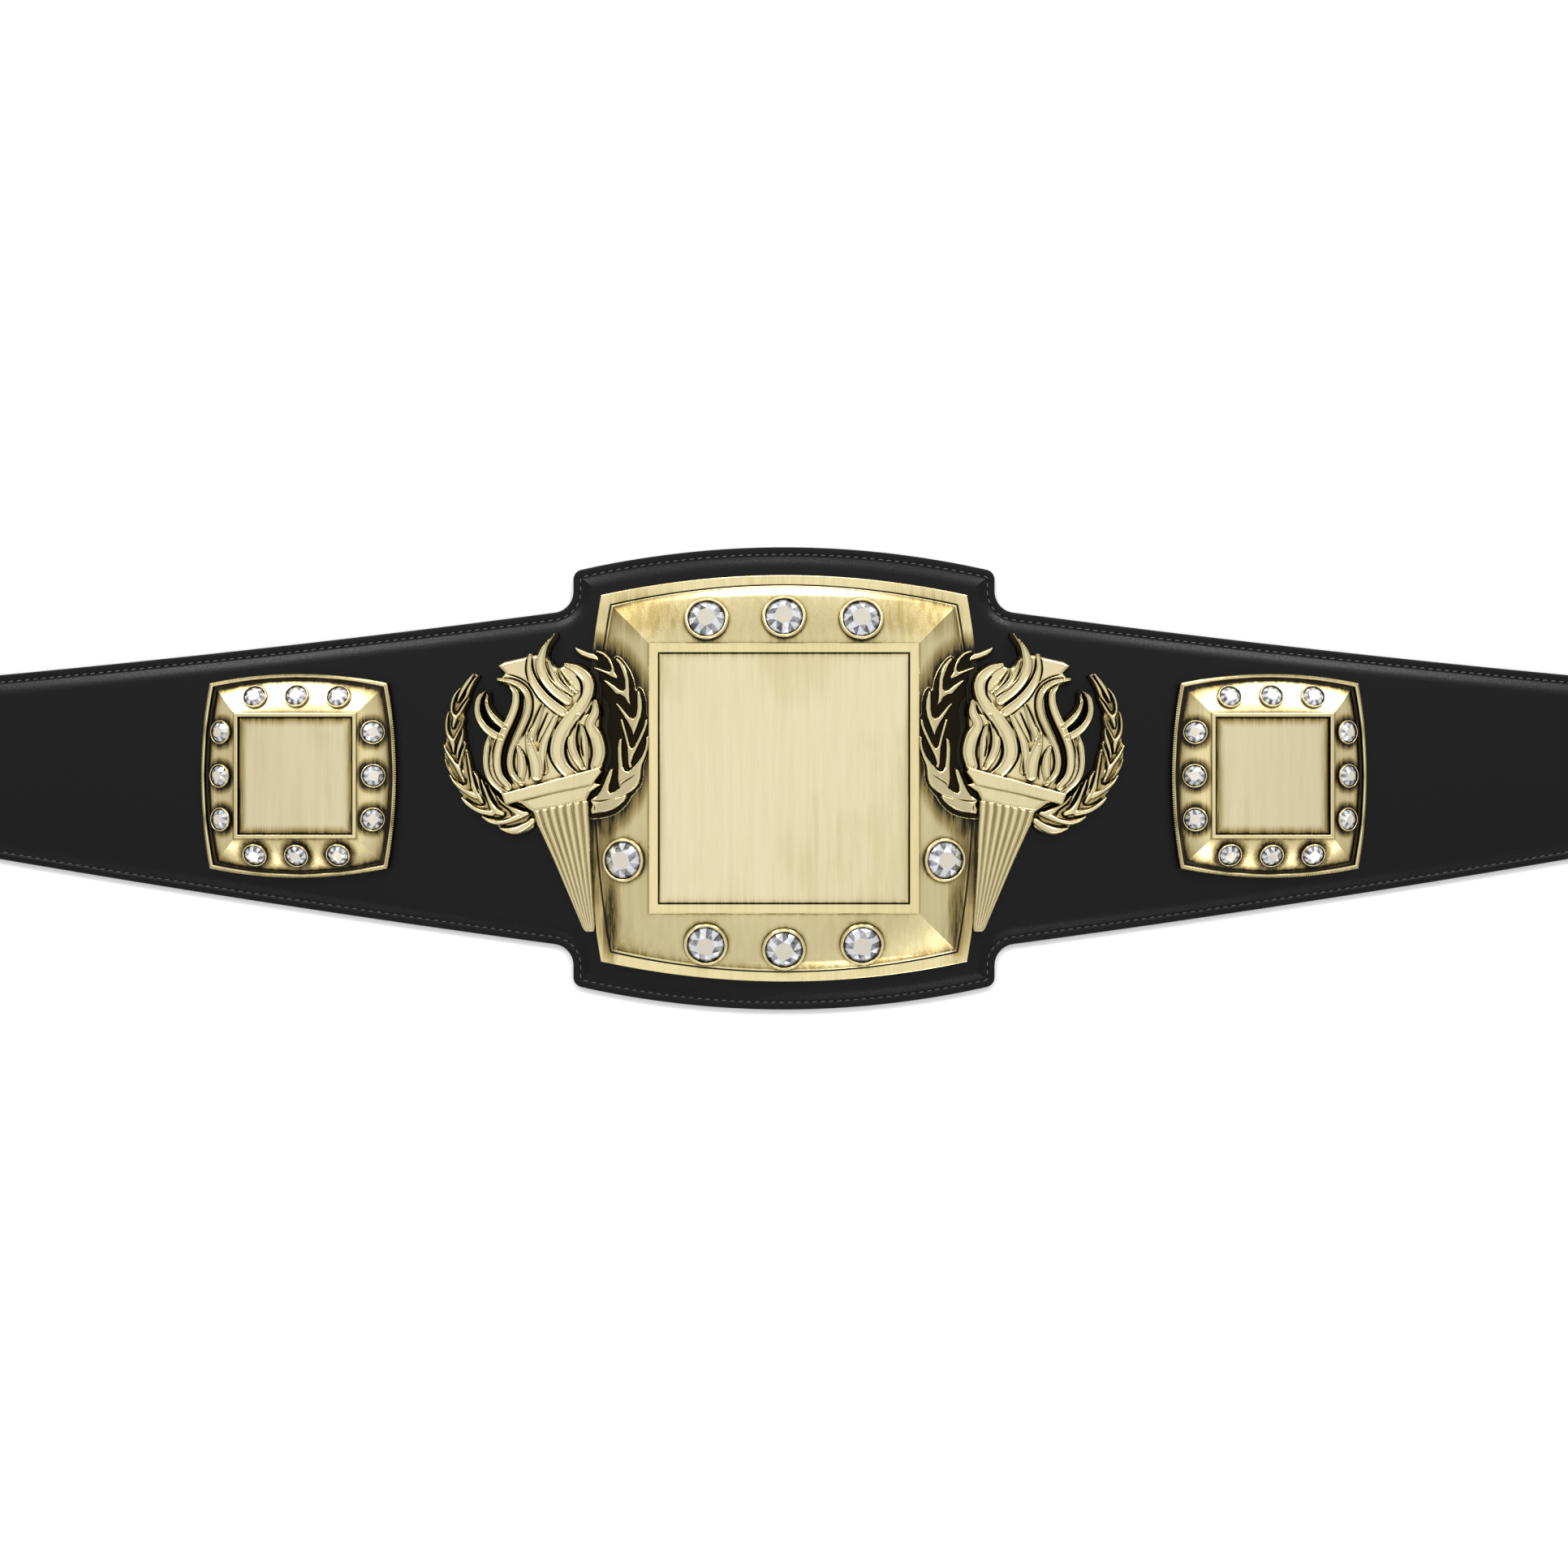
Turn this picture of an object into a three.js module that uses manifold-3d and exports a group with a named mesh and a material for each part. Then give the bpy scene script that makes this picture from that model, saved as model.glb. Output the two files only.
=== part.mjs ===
// A championship title belt, laid open and face up: a padded leather strap that carries a large centre
// plate, two side plates and two torch-and-laurel castings. Millimetres, +Z up, +X along the strap.
// The origin is under the middle of the belt, on the surface that it lies on.
import * as THREE from 'three';
import * as BufferGeometryUtils from 'three/addons/utils/BufferGeometryUtils.js';
import Module from 'manifold-3d';

// Clearances
const SEAT_GAP = 0.3;      // between a piece and what it lies on
const INLAY_GAP = 0.4;     // all round an inlaid panel
const STONE_GAP = 0.3;     // round a stone in its bezel

// Strap
const STRAP_LENGTH = 1320;
const STRAP_ROOT_HEIGHT = 204.5;   // of the band where it leaves the lobe
const STRAP_TIP_HEIGHT = 63;       // of the band at its end
const STRAP_TIP_RADIUS = 24;
const STRAP_END_RISE = 16;         // how far the midline curves up at the ends
const MARGIN_THICKNESS = 3;        // leather outside the padding
const FIELD_THICKNESS = 6;         // leather over the padding
const MARGIN_WIDTH = 5.3;          // from the edge to the padding, with the stitched line in it
const SHOULDER_WIDTH = 4;          // of the padding's rounded slope
const SHOULDER_BULGE = 0.7;        // height share of the slope at a third of its width
const LOBE_SIDE_MARGIN = 8;        // leather beside the centre plate
const LOBE_TOP_MARGIN = 18;        // leather above the centre plate
const LOBE_SAGITTA = 14.7;         // of the arc that the lobe's top and bottom follow
const LOBE_CORNER_RADIUS = 6;
const LOBE_FILLET_RADIUS = 13;     // where the lobe meets the band
const INNER_CORNER_RADIUS = 0.4;   // least radius of a corner of the padding

// Centre plate
const CENTRE_WIDTH = 240;          // across the bulged sides
const CENTRE_HEIGHT = 245;
const CENTRE_SIDE_BULGE = 9.6;
const CENTRE_TOP_BULGE = 12;
const CENTRE_RIM_WIDTH = 5.6;
const CENTRE_RIM_THICKNESS = 3;
const CENTRE_GROOVE_WIDTH = 0.8;
const CENTRE_GROOVE_DEPTH = 1;
const CENTRE_LIP_WIDTH = 1.2;
const CENTRE_LIP_HEIGHT = 0.8;     // of the bevel's foot above the rim
const CENTRE_BEVEL_RISE = 7.6;
const CENTRE_BEVEL_CROWN = 0.7;    // how far the bevel bows out of a flat slope
const PLAQUE_SIZE = 161.5;
const PLAQUE_STEP = 1.6;           // of the plaque above the bevel
const PLAQUE_BORDER = 5.8;
const PLAQUE_EDGE_ROUND = 0.7;
const CENTRE_PANEL_THICKNESS = 1.6;

// Side plates
const SIDE_WIDTH = 117.6;
const SIDE_HEIGHT = 123;
const SIDE_WIDTH_BULGE = 5.2;
const SIDE_HEIGHT_BULGE = 5.6;
const SIDE_PLATE_SPACING = 29;     // from the casting to the side plate
const SIDE_RIM_WIDTH = 3;
const SIDE_RIM_THICKNESS = 4.6;
const SIDE_RIM_ROUND = 1;
const SIDE_GROOVE_WIDTH = 3;
const SIDE_GROOVE_DEPTH = 2;
const SIDE_BEVEL_RISE = 7;
const SIDE_BEVEL_CROWN = 0.6;
const FRAME_WIDTH = 73;
const FRAME_HEIGHT = 75;
const FRAME_STEP = 0.6;
const FRAME_BORDER = 2.2;
const FRAME_EDGE_ROUND = 0.4;
const SIDE_PANEL_THICKNESS = 1.4;
const SIDE_PANEL_RECESS = 1.2;     // of the panel's face below the frame's

// Stones and their bezels
const CENTRE_STONE_DIAMETER = 21.6;
const CENTRE_BEZEL_WALL = 2.4;
const CENTRE_BEZEL_HEIGHT = 2.4;
const SIDE_STONE_DIAMETER = 12;
const SIDE_BEZEL_WALL = 1;
const SIDE_BEZEL_HEIGHT = 1.9;
const BEZEL_SUNK_SHARE = 1.5;      // depth of a bezel's foot in the bevel, as a share of its height
const BEZEL_TAPER_SHARE = 0.3;     // narrowing of a bezel's wall to its top, as a share of the wall
const STONE_TABLE_SHARE = 0.56;    // of a stone's radius
const STONE_CROWN_SHARE = 0.34;    // height of a stone's crown, as a share of its radius
const STONE_KITE_SHARE = 1.02;     // place of a kite's wide corner, as a share of the middle of the crown
const STONE_GIRDLE = 0.8;

// Torch-and-laurel castings
const CASTING_WIDTH = 123;
const CASTING_HEIGHT = 178;
const CASTING_OVERLAP = 38.5;      // of the laurel over the centre plate
const CASTING_DRAFT = 1.6;         // how far a wall's foot stands out
const BRANCH_RELIEF = 6.6;         // of a leaf's rib above the leather
const BRANCH_PLATE_RELIEF = 3.4;   // of a leaf's rib above the centre plate
const LEAF_TIP_DROP = 1.2;         // of a leaf's tip below its rib
const LEAF_NOTCH_DROP = 2.4;       // of the notch between two leaves
const LEAF_NOTCH_ALONG = 0.35;     // place of the notch between two leaf tips
const LEAF_NOTCH_IN = 0.2;         // how far the notch reaches in to the stem
const FLAME_BODY_RELIEF = 6.4;
const FLAME_RELIEF = 9.4;
const TONGUE_SUNK = 0.6;           // of a tongue's edges in the flames' body
const BOWL_RELIEF = 10.4;
const COLLAR_DROP = 1.6;           // of the bowl's lower tier below the upper one
const HANDLE_RELIEF = 9.6;
const FLUTE_COUNT = 6;
const FLUTE_DEPTH = 1.4;
const FLUTE_EDGE_SHARE = 0.06;     // where the first flute begins, as a share of the half turn over
const HANDLE_SHOULDER_SHARE = 0.35; // height of the handle's shoulders, as a share of its relief

// Press fasteners at the ends
const SNAP_DIAMETER = 15;
const SNAP_HEIGHT = 2.4;
const SNAP_STUD_DIAMETER = 6;
const SNAP_STUD_HEIGHT = 3.4;
const SNAP_PITCH = 27;
const SNAP_END_DISTANCE = 22;      // of the last fasteners from the end
const SNAP_ROWS = 2;               // of fasteners across the strap, and along it
const SNAP_RIM_SHARE = 0.4;        // height of a fastener's rim, as a share of its height
const SNAP_DOME_SHARES = { radius: 0.7, height: 0.85 }; // of the bend in the cap's dome
const STUD_WAIST_SHARES = { radius: 0.8, height: 0.6 }; // of the stud's waist, by its head and the rim
const STUD_TOP_SHARES = { radius: 0.7, height: 0.85 };  // of the rounding of the stud's head

// Facets
const CENTRE_SIDE_STEPS = 6;
const SIDE_SIDE_STEPS = 4;
const CENTRE_BEZEL_FACETS = 12;
const SIDE_BEZEL_FACETS = 8;
const SNAP_FACETS = 8;
const STONE_SIDES = 8;             // of a stone's table
const ARC_STEPS = 3;               // in each rounded corner of the strap
const LOBE_ARC_STEPS = 3;          // in each half of the lobe's arc
const BAND_STEPS = 4;              // along each side of the band

// Heights that follow from the sizes
const PLATE_FOOT = FIELD_THICKNESS + SEAT_GAP;
const CENTRE_RIM_TOP = PLATE_FOOT + CENTRE_RIM_THICKNESS;
const CENTRE_BEVEL_FOOT = CENTRE_RIM_TOP + CENTRE_LIP_HEIGHT;
const CENTRE_BEVEL_TOP = CENTRE_BEVEL_FOOT + CENTRE_BEVEL_RISE;
const PLAQUE_TOP = CENTRE_BEVEL_TOP + PLAQUE_STEP;
const CENTRE_BEVEL_INSET = CENTRE_RIM_WIDTH + CENTRE_GROOVE_WIDTH + CENTRE_LIP_WIDTH;
const SIDE_RIM_TOP = PLATE_FOOT + SIDE_RIM_THICKNESS;
const SIDE_BEVEL_FOOT = SIDE_RIM_TOP - SIDE_GROOVE_DEPTH;
const SIDE_BEVEL_TOP = SIDE_BEVEL_FOOT + SIDE_BEVEL_RISE;
const FRAME_TOP = SIDE_BEVEL_TOP + FRAME_STEP;
const SIDE_BEVEL_INSET = SIDE_RIM_WIDTH + SIDE_GROOVE_WIDTH;

// Places that follow from the sizes
const CASTING_INNER_EDGE = CENTRE_WIDTH / 2 - CASTING_OVERLAP;
const SIDE_PLATE_X = CASTING_INNER_EDGE + CASTING_WIDTH + SIDE_PLATE_SPACING + SIDE_WIDTH / 2;
const LOBE_HALF_WIDTH = CENTRE_WIDTH / 2 + LOBE_SIDE_MARGIN;
const LOBE_HALF_HEIGHT = CENTRE_HEIGHT / 2 + LOBE_TOP_MARGIN;

// Stones of the centre plate. along: place on that edge, as a share of the plate's half size.
// across: place on the bevel, from its foot at 0 to its top at 1.
const CENTRE_STONES = [
  { edge: 'top', along: -0.386, across: 0.55 },
  { edge: 'top', along: 0, across: 0.54 },
  { edge: 'top', along: 0.386, across: 0.55 },
  { edge: 'right', along: -0.4, across: 0.484 },
  { edge: 'bottom', along: 0.39, across: 0.42 },
  { edge: 'bottom', along: 0, across: 0.37 },
  { edge: 'bottom', along: -0.39, across: 0.42 },
  { edge: 'left', along: -0.4, across: 0.484 },
];

// Stones of a side plate, three on each edge.
const SIDE_STONES = ['top', 'right', 'bottom', 'left'].flatMap((edge) => [
  { edge, along: -0.425, across: 0.42 },
  { edge, along: 0, across: 0.43 },
  { edge, along: 0.425, across: 0.42 },
]);

// In the tables of the casting, out is the distance from its inner edge as a share of its width, and up
// is the distance from the belt's midline as a share of its height.

// Leaf pairs, from the stalk to the tip: where a pair leaves the stem, and its two leaf tips.
const OUTER_BRANCH = [
  { stemOut: 0.566, stemUp: -0.134, outerOut: 0.728, outerUp: -0.167, innerOut: 0.744, innerUp: -0.06 },
  { stemOut: 0.665, stemUp: -0.131, outerOut: 0.815, outerUp: -0.126, innerOut: 0.807, innerUp: -0.02 },
  { stemOut: 0.78, stemUp: -0.106, outerOut: 0.914, outerUp: -0.066, innerOut: 0.851, innerUp: 0.035 },
  { stemOut: 0.87, stemUp: -0.049, outerOut: 0.973, outerUp: 0.016, innerOut: 0.88, innerUp: 0.09 },
  { stemOut: 0.938, stemUp: 0.033, outerOut: 1.0, outerUp: 0.115, innerOut: 0.895, innerUp: 0.145 },
  { stemOut: 0.961, stemUp: 0.123, outerOut: 0.977, outerUp: 0.224, innerOut: 0.898, innerUp: 0.21 },
  { stemOut: 0.949, stemUp: 0.202, outerOut: 0.922, outerUp: 0.303, innerOut: 0.878, innerUp: 0.268 },
  { stemOut: 0.918, stemUp: 0.265, outerOut: 0.845, outerUp: 0.355, innerOut: 0.85, innerUp: 0.32 },
];
const INNER_BRANCH = [
  { stemOut: 0.282, stemUp: -0.09, outerOut: 0.06, outerUp: 0.0, innerOut: 0.225, innerUp: -0.016 },
  { stemOut: 0.187, stemUp: -0.057, outerOut: 0.015, outerUp: 0.055, innerOut: 0.185, innerUp: 0.046 },
  { stemOut: 0.115, stemUp: 0.0, outerOut: 0.001, outerUp: 0.13, innerOut: 0.15, innerUp: 0.125 },
  { stemOut: 0.084, stemUp: 0.063, outerOut: 0.009, outerUp: 0.202, innerOut: 0.138, innerUp: 0.195 },
  { stemOut: 0.068, stemUp: 0.147, outerOut: 0.045, outerUp: 0.295, innerOut: 0.155, innerUp: 0.26 },
  { stemOut: 0.092, stemUp: 0.248, outerOut: 0.159, outerUp: 0.4, innerOut: 0.205, innerUp: 0.33 },
  { stemOut: 0.155, stemUp: 0.341, outerOut: 0.255, outerUp: 0.44, innerOut: 0.265, innerUp: 0.39 },
  { stemOut: 0.235, stemUp: 0.401, outerOut: 0.361, outerUp: 0.45, innerOut: 0.341, innerUp: 0.43 },
];

// Outline of the flames' body, starting at the bowl and going round over the tips.
const FLAME_BODY = [
  { out: 0.7, up: -0.05 },
  { out: 0.768, up: -0.016 },
  { out: 0.795, up: 0.038 },
  { out: 0.791, up: 0.112 },
  { out: 0.775, up: 0.161 },
  { out: 0.82, up: 0.19 },
  { out: 0.845, up: 0.235 },
  { out: 0.833, up: 0.275 },
  { out: 0.795, up: 0.297 },
  { out: 0.8, up: 0.255 },
  { out: 0.785, up: 0.222 },
  { out: 0.745, up: 0.198 },
  { out: 0.697, up: 0.183 },
  { out: 0.661, up: 0.243 },
  { out: 0.665, up: 0.298 },
  { out: 0.715, up: 0.33 },
  { out: 0.69, up: 0.358 },
  { out: 0.728, up: 0.38 },
  { out: 0.625, up: 0.404 },
  { out: 0.539, up: 0.42 },
  { out: 0.458, up: 0.48 },
  { out: 0.477, up: 0.418 },
  { out: 0.4, up: 0.382 },
  { out: 0.333, up: 0.371 },
  { out: 0.274, up: 0.336 },
  { out: 0.265, up: 0.265 },
  { out: 0.234, up: 0.205 },
  { out: 0.211, up: 0.112 },
  { out: 0.234, up: 0.0 },
];

// Tongues of flame, each a raised ridge. width is a share of the casting's width.
const TONGUES = [
  [
    { out: 0.791, up: 0.292, width: 0.008 },
    { out: 0.823, up: 0.254, width: 0.036 },
    { out: 0.807, up: 0.213, width: 0.047 },
    { out: 0.768, up: 0.18, width: 0.059 },
    { out: 0.705, up: 0.139, width: 0.071 },
  ],
  [
    { out: 0.705, up: -0.03, width: 0.047 },
    { out: 0.756, up: 0.025, width: 0.051 },
    { out: 0.764, up: 0.093, width: 0.051 },
    { out: 0.724, up: 0.164, width: 0.047 },
    { out: 0.673, up: 0.227, width: 0.032 },
    { out: 0.673, up: 0.298, width: 0.012 },
  ],
  [
    { out: 0.633, up: -0.025, width: 0.051 },
    { out: 0.697, up: 0.022, width: 0.063 },
    { out: 0.701, up: 0.098, width: 0.067 },
    { out: 0.653, up: 0.18, width: 0.071 },
    { out: 0.618, up: 0.259, width: 0.059 },
    { out: 0.716, up: 0.328, width: 0.012 },
  ],
  [
    { out: 0.586, up: 0.025, width: 0.055 },
    { out: 0.633, up: 0.079, width: 0.067 },
    { out: 0.594, up: 0.161, width: 0.075 },
    { out: 0.546, up: 0.238, width: 0.075 },
    { out: 0.58, up: 0.322, width: 0.05 },
    { out: 0.697, up: 0.344, width: 0.012 },
  ],
  [
    { out: 0.732, up: 0.38, width: 0.012 },
    { out: 0.657, up: 0.38, width: 0.047 },
    { out: 0.594, up: 0.363, width: 0.059 },
    { out: 0.554, up: 0.317, width: 0.055 },
    { out: 0.491, up: 0.257, width: 0.047 },
    { out: 0.42, up: 0.213, width: 0.032 },
  ],
  [
    { out: 0.456, up: 0.483, width: 0.008 },
    { out: 0.519, up: 0.426, width: 0.04 },
    { out: 0.539, up: 0.366, width: 0.051 },
    { out: 0.499, up: 0.303, width: 0.051 },
    { out: 0.428, up: 0.257, width: 0.047 },
    { out: 0.373, up: 0.232, width: 0.032 },
  ],
  [
    { out: 0.396, up: 0.382, width: 0.008 },
    { out: 0.286, up: 0.322, width: 0.036 },
    { out: 0.301, up: 0.259, width: 0.047 },
    { out: 0.377, up: 0.188, width: 0.059 },
    { out: 0.428, up: 0.115, width: 0.055 },
    { out: 0.42, up: 0.03, width: 0.043 },
  ],
  [
    { out: 0.412, up: 0.363, width: 0.012 },
    { out: 0.357, up: 0.325, width: 0.047 },
    { out: 0.345, up: 0.279, width: 0.055 },
    { out: 0.396, up: 0.216, width: 0.067 },
    { out: 0.467, up: 0.139, width: 0.071 },
    { out: 0.487, up: 0.074, width: 0.063 },
    { out: 0.46, up: 0.01, width: 0.04 },
  ],
  [
    { out: 0.25, up: 0.259, width: 0.008 },
    { out: 0.258, up: 0.202, width: 0.04 },
    { out: 0.242, up: 0.139, width: 0.047 },
    { out: 0.23, up: 0.085, width: 0.047 },
    { out: 0.25, up: 0.02, width: 0.04 },
  ],
  [
    { out: 0.301, up: 0.238, width: 0.016 },
    { out: 0.357, up: 0.175, width: 0.047 },
    { out: 0.373, up: 0.106, width: 0.059 },
    { out: 0.349, up: 0.02, width: 0.051 },
  ],
  [
    { out: 0.325, up: 0.188, width: 0.008 },
    { out: 0.313, up: 0.147, width: 0.036 },
    { out: 0.301, up: 0.09, width: 0.047 },
    { out: 0.309, up: 0.01, width: 0.024 },
  ],
  [
    { out: 0.499, up: 0.248, width: 0.012 },
    { out: 0.535, up: 0.194, width: 0.04 },
    { out: 0.566, up: 0.12, width: 0.051 },
    { out: 0.546, up: 0.01, width: 0.051 },
  ],
];

// The handle's axis, from the bowl to the tip.
const HANDLE = [
  { out: 0.44, up: -0.075, width: 0.27, relief: 1 },
  { out: 0.373, up: -0.27, width: 0.19, relief: 0.9 },
  { out: 0.329, up: -0.407, width: 0.119, relief: 0.75 },
  { out: 0.292, up: -0.513, width: 0.051, relief: 0.55 },
];

// The two tiers of the bowl, each from its outer end to its inner end.
const BOWL_LIP = [
  { out: 0.72, up: -0.063, width: 0.06, relief: 0.75 },
  { out: 0.6, up: -0.053, width: 0.13, relief: 0.93 },
  { out: 0.471, up: -0.027, width: 0.16, relief: 1 },
  { out: 0.36, up: -0.006, width: 0.13, relief: 0.93 },
  { out: 0.235, up: 0.01, width: 0.07, relief: 0.75 },
];
const BOWL_COLLAR = [
  { out: 0.63, up: -0.085, width: 0.03, relief: 0.7 },
  { out: 0.54, up: -0.093, width: 0.11, relief: 0.93 },
  { out: 0.445, up: -0.072, width: 0.13, relief: 1 },
  { out: 0.35, up: -0.052, width: 0.11, relief: 0.93 },
  { out: 0.24, up: -0.028, width: 0.03, relief: 0.7 },
];

const wasm = await Module();
wasm.setup();

// A closed body through rings of the same number of points, each counter-clockwise seen from the last.
function loft(rings) {
  const count = rings[0].length;
  const positions = rings.flat().flatMap((p) => [p.x, p.y, p.z]);
  const indices = [];
  for (let r = 0; r < rings.length - 1; r += 1) {
    for (let i = 0; i < count; i += 1) {
      const j = (i + 1) % count;
      const [a, b, c, d] = [r * count + i, r * count + j, (r + 1) * count + j, (r + 1) * count + i];
      indices.push(a, b, c, a, c, d);
    }
  }
  const addCap = (first, ring, turned) => {
    const middle = positions.length / 3;
    const centre = ring.reduce((sum, p) => sum.add(p), new THREE.Vector3()).divideScalar(count);
    positions.push(centre.x, centre.y, centre.z);
    for (let i = 0; i < count; i += 1) {
      const j = (i + 1) % count;
      indices.push(middle, first + (turned ? j : i), first + (turned ? i : j));
    }
  };
  addCap(0, rings[0], true);
  addCap((rings.length - 1) * count, rings[rings.length - 1], false);
  return indexedGeometry(positions, indices);
}

function indexedGeometry(positions, indices) {
  const geometry = new THREE.BufferGeometry();
  geometry.setAttribute('position', new THREE.Float32BufferAttribute(positions, 3));
  geometry.setIndex(indices);
  return geometry;
}

function toSolid(geometry) {
  const bare = geometry.clone();
  bare.deleteAttribute('normal');
  bare.deleteAttribute('uv');
  const merged = BufferGeometryUtils.mergeVertices(bare, 1e-4);
  return new wasm.Manifold(new wasm.Mesh({
    numProp: 3,
    vertProperties: new Float32Array(merged.attributes.position.array),
    triVerts: new Uint32Array(merged.index.array),
  }));
}

function toGeometry(solid) {
  const mesh = solid.getMesh();
  return indexedGeometry(Array.from(mesh.vertProperties), Array.from(mesh.triVerts));
}

// The same body with its left and right exchanged.
function mirrored(geometry) {
  const turned = geometry.clone().scale(-1, 1, 1);
  const index = turned.index.array;
  for (let i = 0; i < index.length; i += 3) {
    [index[i], index[i + 1]] = [index[i + 1], index[i]];
  }
  return turned;
}

// How far the strap's midline lies above the belt's own at a distance from the middle.
function midlineRise(distance) {
  const beyondLobe = Math.max(Math.abs(distance) - LOBE_HALF_WIDTH, 0);
  return STRAP_END_RISE * (beyondLobe / (STRAP_LENGTH / 2 - LOBE_HALF_WIDTH)) ** 2;
}

function bandHeight(distance) {
  const share = (Math.abs(distance) - LOBE_HALF_WIDTH) / (STRAP_LENGTH / 2 - LOBE_HALF_WIDTH);
  return THREE.MathUtils.lerp(STRAP_ROOT_HEIGHT, STRAP_TIP_HEIGHT, share);
}

// Corners of the strap's outline, counter-clockwise, each with the radius that rounds it.
function strapCorners() {
  const quarter = (up) => {
    const corners = [];
    for (let i = 0; i <= LOBE_ARC_STEPS; i += 1) {
      const share = 1 - i / LOBE_ARC_STEPS;
      const y = LOBE_HALF_HEIGHT - LOBE_SAGITTA * share ** 2;
      corners.push({ x: LOBE_HALF_WIDTH * share, y: up * y, radius: i === 0 ? LOBE_CORNER_RADIUS : 0 });
    }
    corners.unshift({
      x: LOBE_HALF_WIDTH,
      y: midlineRise(LOBE_HALF_WIDTH) + up * bandHeight(LOBE_HALF_WIDTH) / 2,
      radius: LOBE_FILLET_RADIUS,
    });
    for (let i = 1; i <= BAND_STEPS; i += 1) {
      const x = THREE.MathUtils.lerp(LOBE_HALF_WIDTH, STRAP_LENGTH / 2, i / BAND_STEPS);
      const y = midlineRise(x) + up * bandHeight(x) / 2;
      corners.unshift({ x, y, radius: i === BAND_STEPS ? STRAP_TIP_RADIUS : 0 });
    }
    return corners;
  };
  const upper = quarter(1);
  const lower = quarter(-1).reverse();
  const mirror = (corners) => corners.slice().reverse().map((c) => ({ ...c, x: -c.x }));
  return [...upper, ...mirror(upper).slice(1), ...mirror(lower), ...lower.slice(1)];
}

// The outline moved in by a distance, with every round corner drawn as an arc.
function strapRing(inset, height) {
  const corners = strapCorners();
  const count = corners.length;
  const moved = corners.map((corner, i) => {
    const before = corners[(i + count - 1) % count];
    const after = corners[(i + 1) % count];
    const into = new THREE.Vector2(corner.x - before.x, corner.y - before.y).normalize();
    const onward = new THREE.Vector2(after.x - corner.x, after.y - corner.y).normalize();
    const inward = new THREE.Vector2(-into.y - onward.y, into.x + onward.x).normalize();
    const reach = inset / Math.max(inward.x * -onward.y + inward.y * onward.x, 0.1);
    const convex = into.cross(onward) > 0;
    const radius = convex ? Math.max(corner.radius - inset, INNER_CORNER_RADIUS) : corner.radius + inset;
    return {
      point: new THREE.Vector2(corner.x, corner.y).addScaledVector(inward, reach),
      radius: corner.radius > 0 ? radius : 0,
    };
  });
  const ring = [];
  moved.forEach(({ point, radius }, i) => {
    if (radius === 0) {
      ring.push(new THREE.Vector3(point.x, point.y, height));
      return;
    }
    const back = moved[(i + count - 1) % count].point.clone().sub(point).normalize();
    const ahead = moved[(i + 1) % count].point.clone().sub(point).normalize();
    const half = Math.acos(THREE.MathUtils.clamp(back.dot(ahead), -1, 1)) / 2;
    const middle = back.clone().add(ahead).normalize();
    const centre = point.clone().addScaledVector(middle, radius / Math.sin(half));
    const start = point.clone().addScaledVector(back, radius / Math.tan(half)).sub(centre);
    const sweep = Math.sign(back.cross(ahead)) * (half * 2 - Math.PI);
    for (let s = 0; s <= ARC_STEPS; s += 1) {
      const arm = start.clone().rotateAround(new THREE.Vector2(), sweep * s / ARC_STEPS);
      ring.push(new THREE.Vector3(centre.x + arm.x, centre.y + arm.y, height));
    }
  });
  return ring;
}

function strapGeometry() {
  const sections = [
    { inset: 0, height: 0 },
    { inset: 0, height: MARGIN_THICKNESS },
    { inset: MARGIN_WIDTH, height: MARGIN_THICKNESS },
    {
      inset: MARGIN_WIDTH + SHOULDER_WIDTH / 3,
      height: THREE.MathUtils.lerp(MARGIN_THICKNESS, FIELD_THICKNESS, SHOULDER_BULGE),
    },
    { inset: MARGIN_WIDTH + SHOULDER_WIDTH, height: FIELD_THICKNESS },
  ];
  return loft(sections.map(({ inset, height }) => strapRing(inset, height)));
}

// The outline of a plate with bulged sides, moved in by a distance, from the right corner at the bottom.
function plateRing(plate, inset, height) {
  const halfWidth = plate.width / 2 - inset;
  const halfHeight = plate.height / 2 - inset;
  const cornerX = halfWidth - plate.widthBulge;
  const cornerY = halfHeight - plate.heightBulge;
  const ring = [];
  for (let side = 0; side < 4; side += 1) {
    for (let i = 0; i < plate.sideSteps; i += 1) {
      const t = 2 * i / plate.sideSteps - 1;
      const upright = [halfWidth - plate.widthBulge * t * t, t * cornerY];
      const level = [-t * cornerX, halfHeight - plate.heightBulge * t * t];
      const [x, y] = side % 2 === 0 ? upright : level;
      const sign = side < 2 ? 1 : -1;
      ring.push(new THREE.Vector3(sign * x, sign * y, height));
    }
  }
  return ring;
}

// A straight-sided ring with as many points as the plate's outline.
function squareRing(plate, width, length, height) {
  const straight = { ...plate, width, height: length, widthBulge: 0, heightBulge: 0 };
  return plateRing(straight, 0, height);
}

function blendRings(from, to, share, lift) {
  return from.map((p, i) => {
    const q = p.clone().lerp(to[i], share);
    q.z += lift;
    return q;
  });
}

const CENTRE_PLATE = {
  width: CENTRE_WIDTH,
  height: CENTRE_HEIGHT,
  widthBulge: CENTRE_SIDE_BULGE,
  heightBulge: CENTRE_TOP_BULGE,
  sideSteps: CENTRE_SIDE_STEPS,
  bevelInset: CENTRE_BEVEL_INSET,
  bevelFoot: CENTRE_BEVEL_FOOT,
  bevelTop: CENTRE_BEVEL_TOP,
  bevelCrown: CENTRE_BEVEL_CROWN,
  innerWidth: PLAQUE_SIZE,
  innerHeight: PLAQUE_SIZE,
};

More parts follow.
